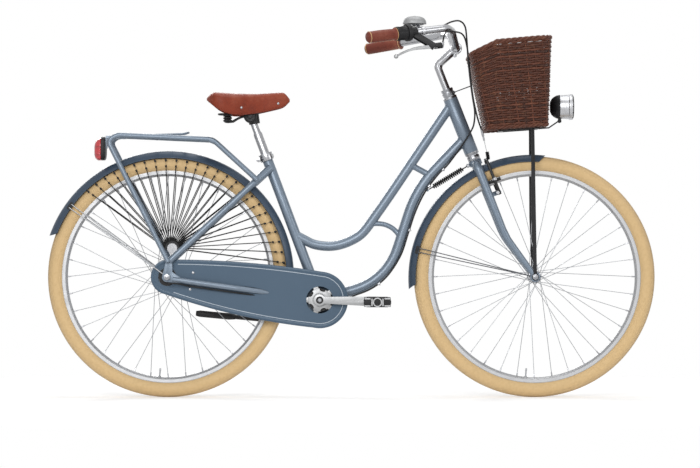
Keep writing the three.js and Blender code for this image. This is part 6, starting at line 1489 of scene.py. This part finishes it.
# Cables
SHIFT_ROUTE = [
    (175.1, -215.4, 1072.5), (190.4, -201.6, 1062.3), (229.2, -186.3, 1073.6), (266.9, -167.3, 1093.4),
    (294.8, -138.7, 1108), (319.5, -97.4, 1112.6), (336.3, -65.6, 1097.9), (342, -50.8, 1058.6),
    (345.8, -44.2, 1005.6), (351.6, -40.5, 947.8), (359.1, -37.7, 892.7), (365.9, -36.1, 848.2),
    (364, -34.5, 814.8), (356.5, -33.3, 793), (332.3, -25.3, 753.6), (288, -12.1, 692.5),
    (257.9, -12.8, 661.7), (218.7, -12.8, 609.2), (190.2, -12.8, 550), (168.8, -12.8, 485.9),
    (145.9, -12.8, 419.8), (104.9, -12.8, 358), (57.9, -12.8, 322), (3.6, -12.8, 300.2), (-82.9, -21.1, 267.3),
    (-93.5, -21.1, 265), (-104.1, -21.1, 267.3), (-171.4, -36.8, 287.8), (-223.3, -45.7, 295.1),
    (-288.1, -56.7, 304.3), (-353.2, -65.8, 313.4), (-418.9, -67.4, 322.7), (-475.9, -68.8, 330.8),
    (-518.5, -80, 339), (-540.5, -80, 339)]
BRAKE_ROUTE = [
    (264.6, -226.4, 1034.2), (275, -205, 1072), (305, -160, 1077), (330, -110, 1069), (343, -76, 1030),
    (351, -62, 960), (360, -58, 890), (373, -58, 830), (386.5, -56, 790)]


CABLE_RADIUS = 2.5


def free_cable(made, stations, *on_it):
    """Works out the path in metres and the length of a cable that hangs free between its two fixed ends; nothing
    uses them.
    """
    path = [tuple(p * METRES) for p in stations]
    length = sum((b - a).length for a, b in zip(stations, stations[1:])) * METRES


def dress_cables():
    shift_line = flowing([at(*p) for p in SHIFT_ROUTE], 6)
    turn_over = ("fork", "frame", at(340, -50, 1060), at(330, -30, 780))
    shift = piece("shift_cable_sleeve", swept(shift_line, CABLE_RADIUS, 12), SLEEVE, turn_over, 60, ["shift_cable"])
    clips = []
    for place in (at(272, -12.4, 676), at(231, -12.8, 626), at(174, -12.8, 502), at(84, -12.8, 341)):
        near = min(range(1, len(shift_line) - 1), key=lambda i: (shift_line[i] - place).length)
        here = shift_line[near]
        way = (shift_line[near + 1] - shift_line[near - 1]).normalized()
        clips.append(turned([(2.6, -4), (3.7, -3.6), (3.7, 3.6), (2.6, 4)], here, way, 20, closed=True))
        clips.append(rod(here, here + way.cross(ACROSS).normalized() * 6, 1.8, 10))
    piece("cable_clips", clips, ALLOY, "frame", 40, slot="bright_steel")

    # the brake's cable ends in a ferrule; its wire runs on through a boot to the far arm
    brake_line = flowing([at(*p) for p in BRAKE_ROUTE], 8)
    brake = piece("brake_cable_sleeve", swept(brake_line, CABLE_RADIUS, 12), SLEEVE, "fork", 60, ["brake_cable"])
    end, boot, cross = brake_line[-1], at(404, -47, 716), at(399.5, 44, 707)
    way = (boot - end).normalized()
    ferrule = piece("brake_ferrule", [
        rod(end - way * 4, end + way * 16, 3.7, 20), rod(end + way * 16, end + way * 30, 2.6, 16)], ALLOY, "fork",
        32, slot="bright_steel")
    wire = piece("brake_wire", swept([end + way * 28, boot], 0.9, 8), SPOKE, "fork")
    piece("brake_link", [
        swept(bent([boot, at(401, -30, 709), cross], 14), 0.9, 8),
        rod(cross - ACROSS * 16, cross - ACROSS * 2, 3.6, 16)], SHADOW_STEEL, "fork")
    bellows = [(5.2 + 1.1 * cos(i * pi / 2), -12 + i * 0.9) for i in range(25)]
    sleeve = piece("brake_boot", turned([(1.4, -13)] + bellows + [(2.2, 11)], boot, at(401, -38, 705) - end, 24),
                   BLACK, "fork", 50)
    free_cable(shift, shift_line)
    free_cable(brake, brake_line, ferrule, wire, sleeve)
    stays = [swept([at(306, side * 9, 907), at(330, side * 16, 916), at(357, side * 24, 926)], 1.1, 8)
             for side in (-1, 1)]
    stays.append(rod(at(305, -14, 906), at(305, 14, 906), 4.4, 16))
    piece("basket_tie", stays, BLACK_STEEL, "fork")


# Studio: pale floor, pale backdrop, soft even lamps
FLOOR_REACH = 1.7  # metres
SEEN_DIRECTLY = ("Camera", "Glossy", "Transmission")  # rays that see the room at its full brightness


def pale_room():
    world = bpy.data.worlds.new("pale_room")
    bpy.context.scene.world = world
    world.use_nodes = True
    tree = world.node_tree
    tree.nodes.clear()
    output = tree.nodes.new("ShaderNodeOutputWorld")
    light = tree.nodes.new("ShaderNodeBackground")
    seen = tree.nodes.new("ShaderNodeBackground")
    for background, strength in ((light, 0.3), (seen, 1.0)):
        background.inputs["Color"].default_value = (1, 1, 1, 1)
        background.inputs["Strength"].default_value = strength
    rays = tree.nodes.new("ShaderNodeLightPath")
    share = rays.outputs[f"Is {SEEN_DIRECTLY[0]} Ray"]
    for ray in SEEN_DIRECTLY[1:]:
        either = tree.nodes.new("ShaderNodeMath")
        either.operation = "MAXIMUM"
        tree.links.new(share, either.inputs[0])
        tree.links.new(rays.outputs[f"Is {ray} Ray"], either.inputs[1])
        share = either.outputs[0]
    blend = tree.nodes.new("ShaderNodeMixShader")
    tree.links.new(share, blend.inputs[0])
    tree.links.new(light.outputs[0], blend.inputs[1])
    tree.links.new(seen.outputs[0], blend.inputs[2])
    tree.links.new(blend.outputs[0], output.inputs["Surface"])


def build_studio():
    pale_room()
    floor_mesh = bpy.data.meshes.new("studio_floor")
    edge = [
        (FLOOR_REACH * cos(radians(5 * i)), FLOOR_REACH * sin(radians(5 * i)), 0)
        for i in range(72)]
    floor_mesh.from_pydata(edge, [], [tuple(range(72))])
    floor = bpy.data.objects.new("studio_floor", floor_mesh)
    bpy.context.collection.objects.link(floor)
    paper = Finish(
        "floor_paper", Base_Color=(0.95, 0.95, 0.95, 1), Roughness=0.95, Specular_IOR_Level=0.0,
        Emission_Strength=0.24)
    rays = [paper.node("LightPath", output=f"Is {ray} Ray") for ray in SEEN_DIRECTLY]
    seen = rays[0].maths("MAXIMUM", rays[0].maths("MAXIMUM", rays[0], rays[1]), rays[2])
    paper.give(Emission_Color=paper.mixed(seen, (0, 0, 0, 1), (1, 1, 1, 1)))
    floor_mesh.materials.append(paper.material)

    for name, place, aim, size, power in (
            ("soft_front", (-1.1, -5.2, 2.3), (0, 0, 0.5), 3.4, 165),
            ("soft_ahead", (3.4, -2.4, 1.8), (0.1, 0, 0.5), 1.8, 26),
            ("soft_top", (0.2, 0.2, 3.8), (0, 0, 0.4), 2.6, 46),
            ("soft_behind", (-1.2, 3.8, 2.2), (0, 0, 0.5), 2.2, 60)):
        lamp = bpy.data.lights.new(name, "AREA")
        lamp.shape = "RECTANGLE"
        lamp.size, lamp.size_y = size, size * 0.7
        lamp.energy = power
        holder = bpy.data.objects.new(name, lamp)
        bpy.context.collection.objects.link(holder)
        holder.location = place
        holder.rotation_euler = (Vector(aim) - Vector(place)).to_track_quat("-Z", "Y").to_euler()


bpy.context.scene.view_settings.view_transform = "Standard"
for dress in (
        dress_frame, dress_stays, dress_rack, dress_mudguards, dress_skirt_guards, dress_wheels, dress_chain_case,
        dress_drive, dress_saddle, dress_fork, dress_bar, dress_bell, dress_basket, dress_front_load, dress_cables,
        build_studio):
    dress()
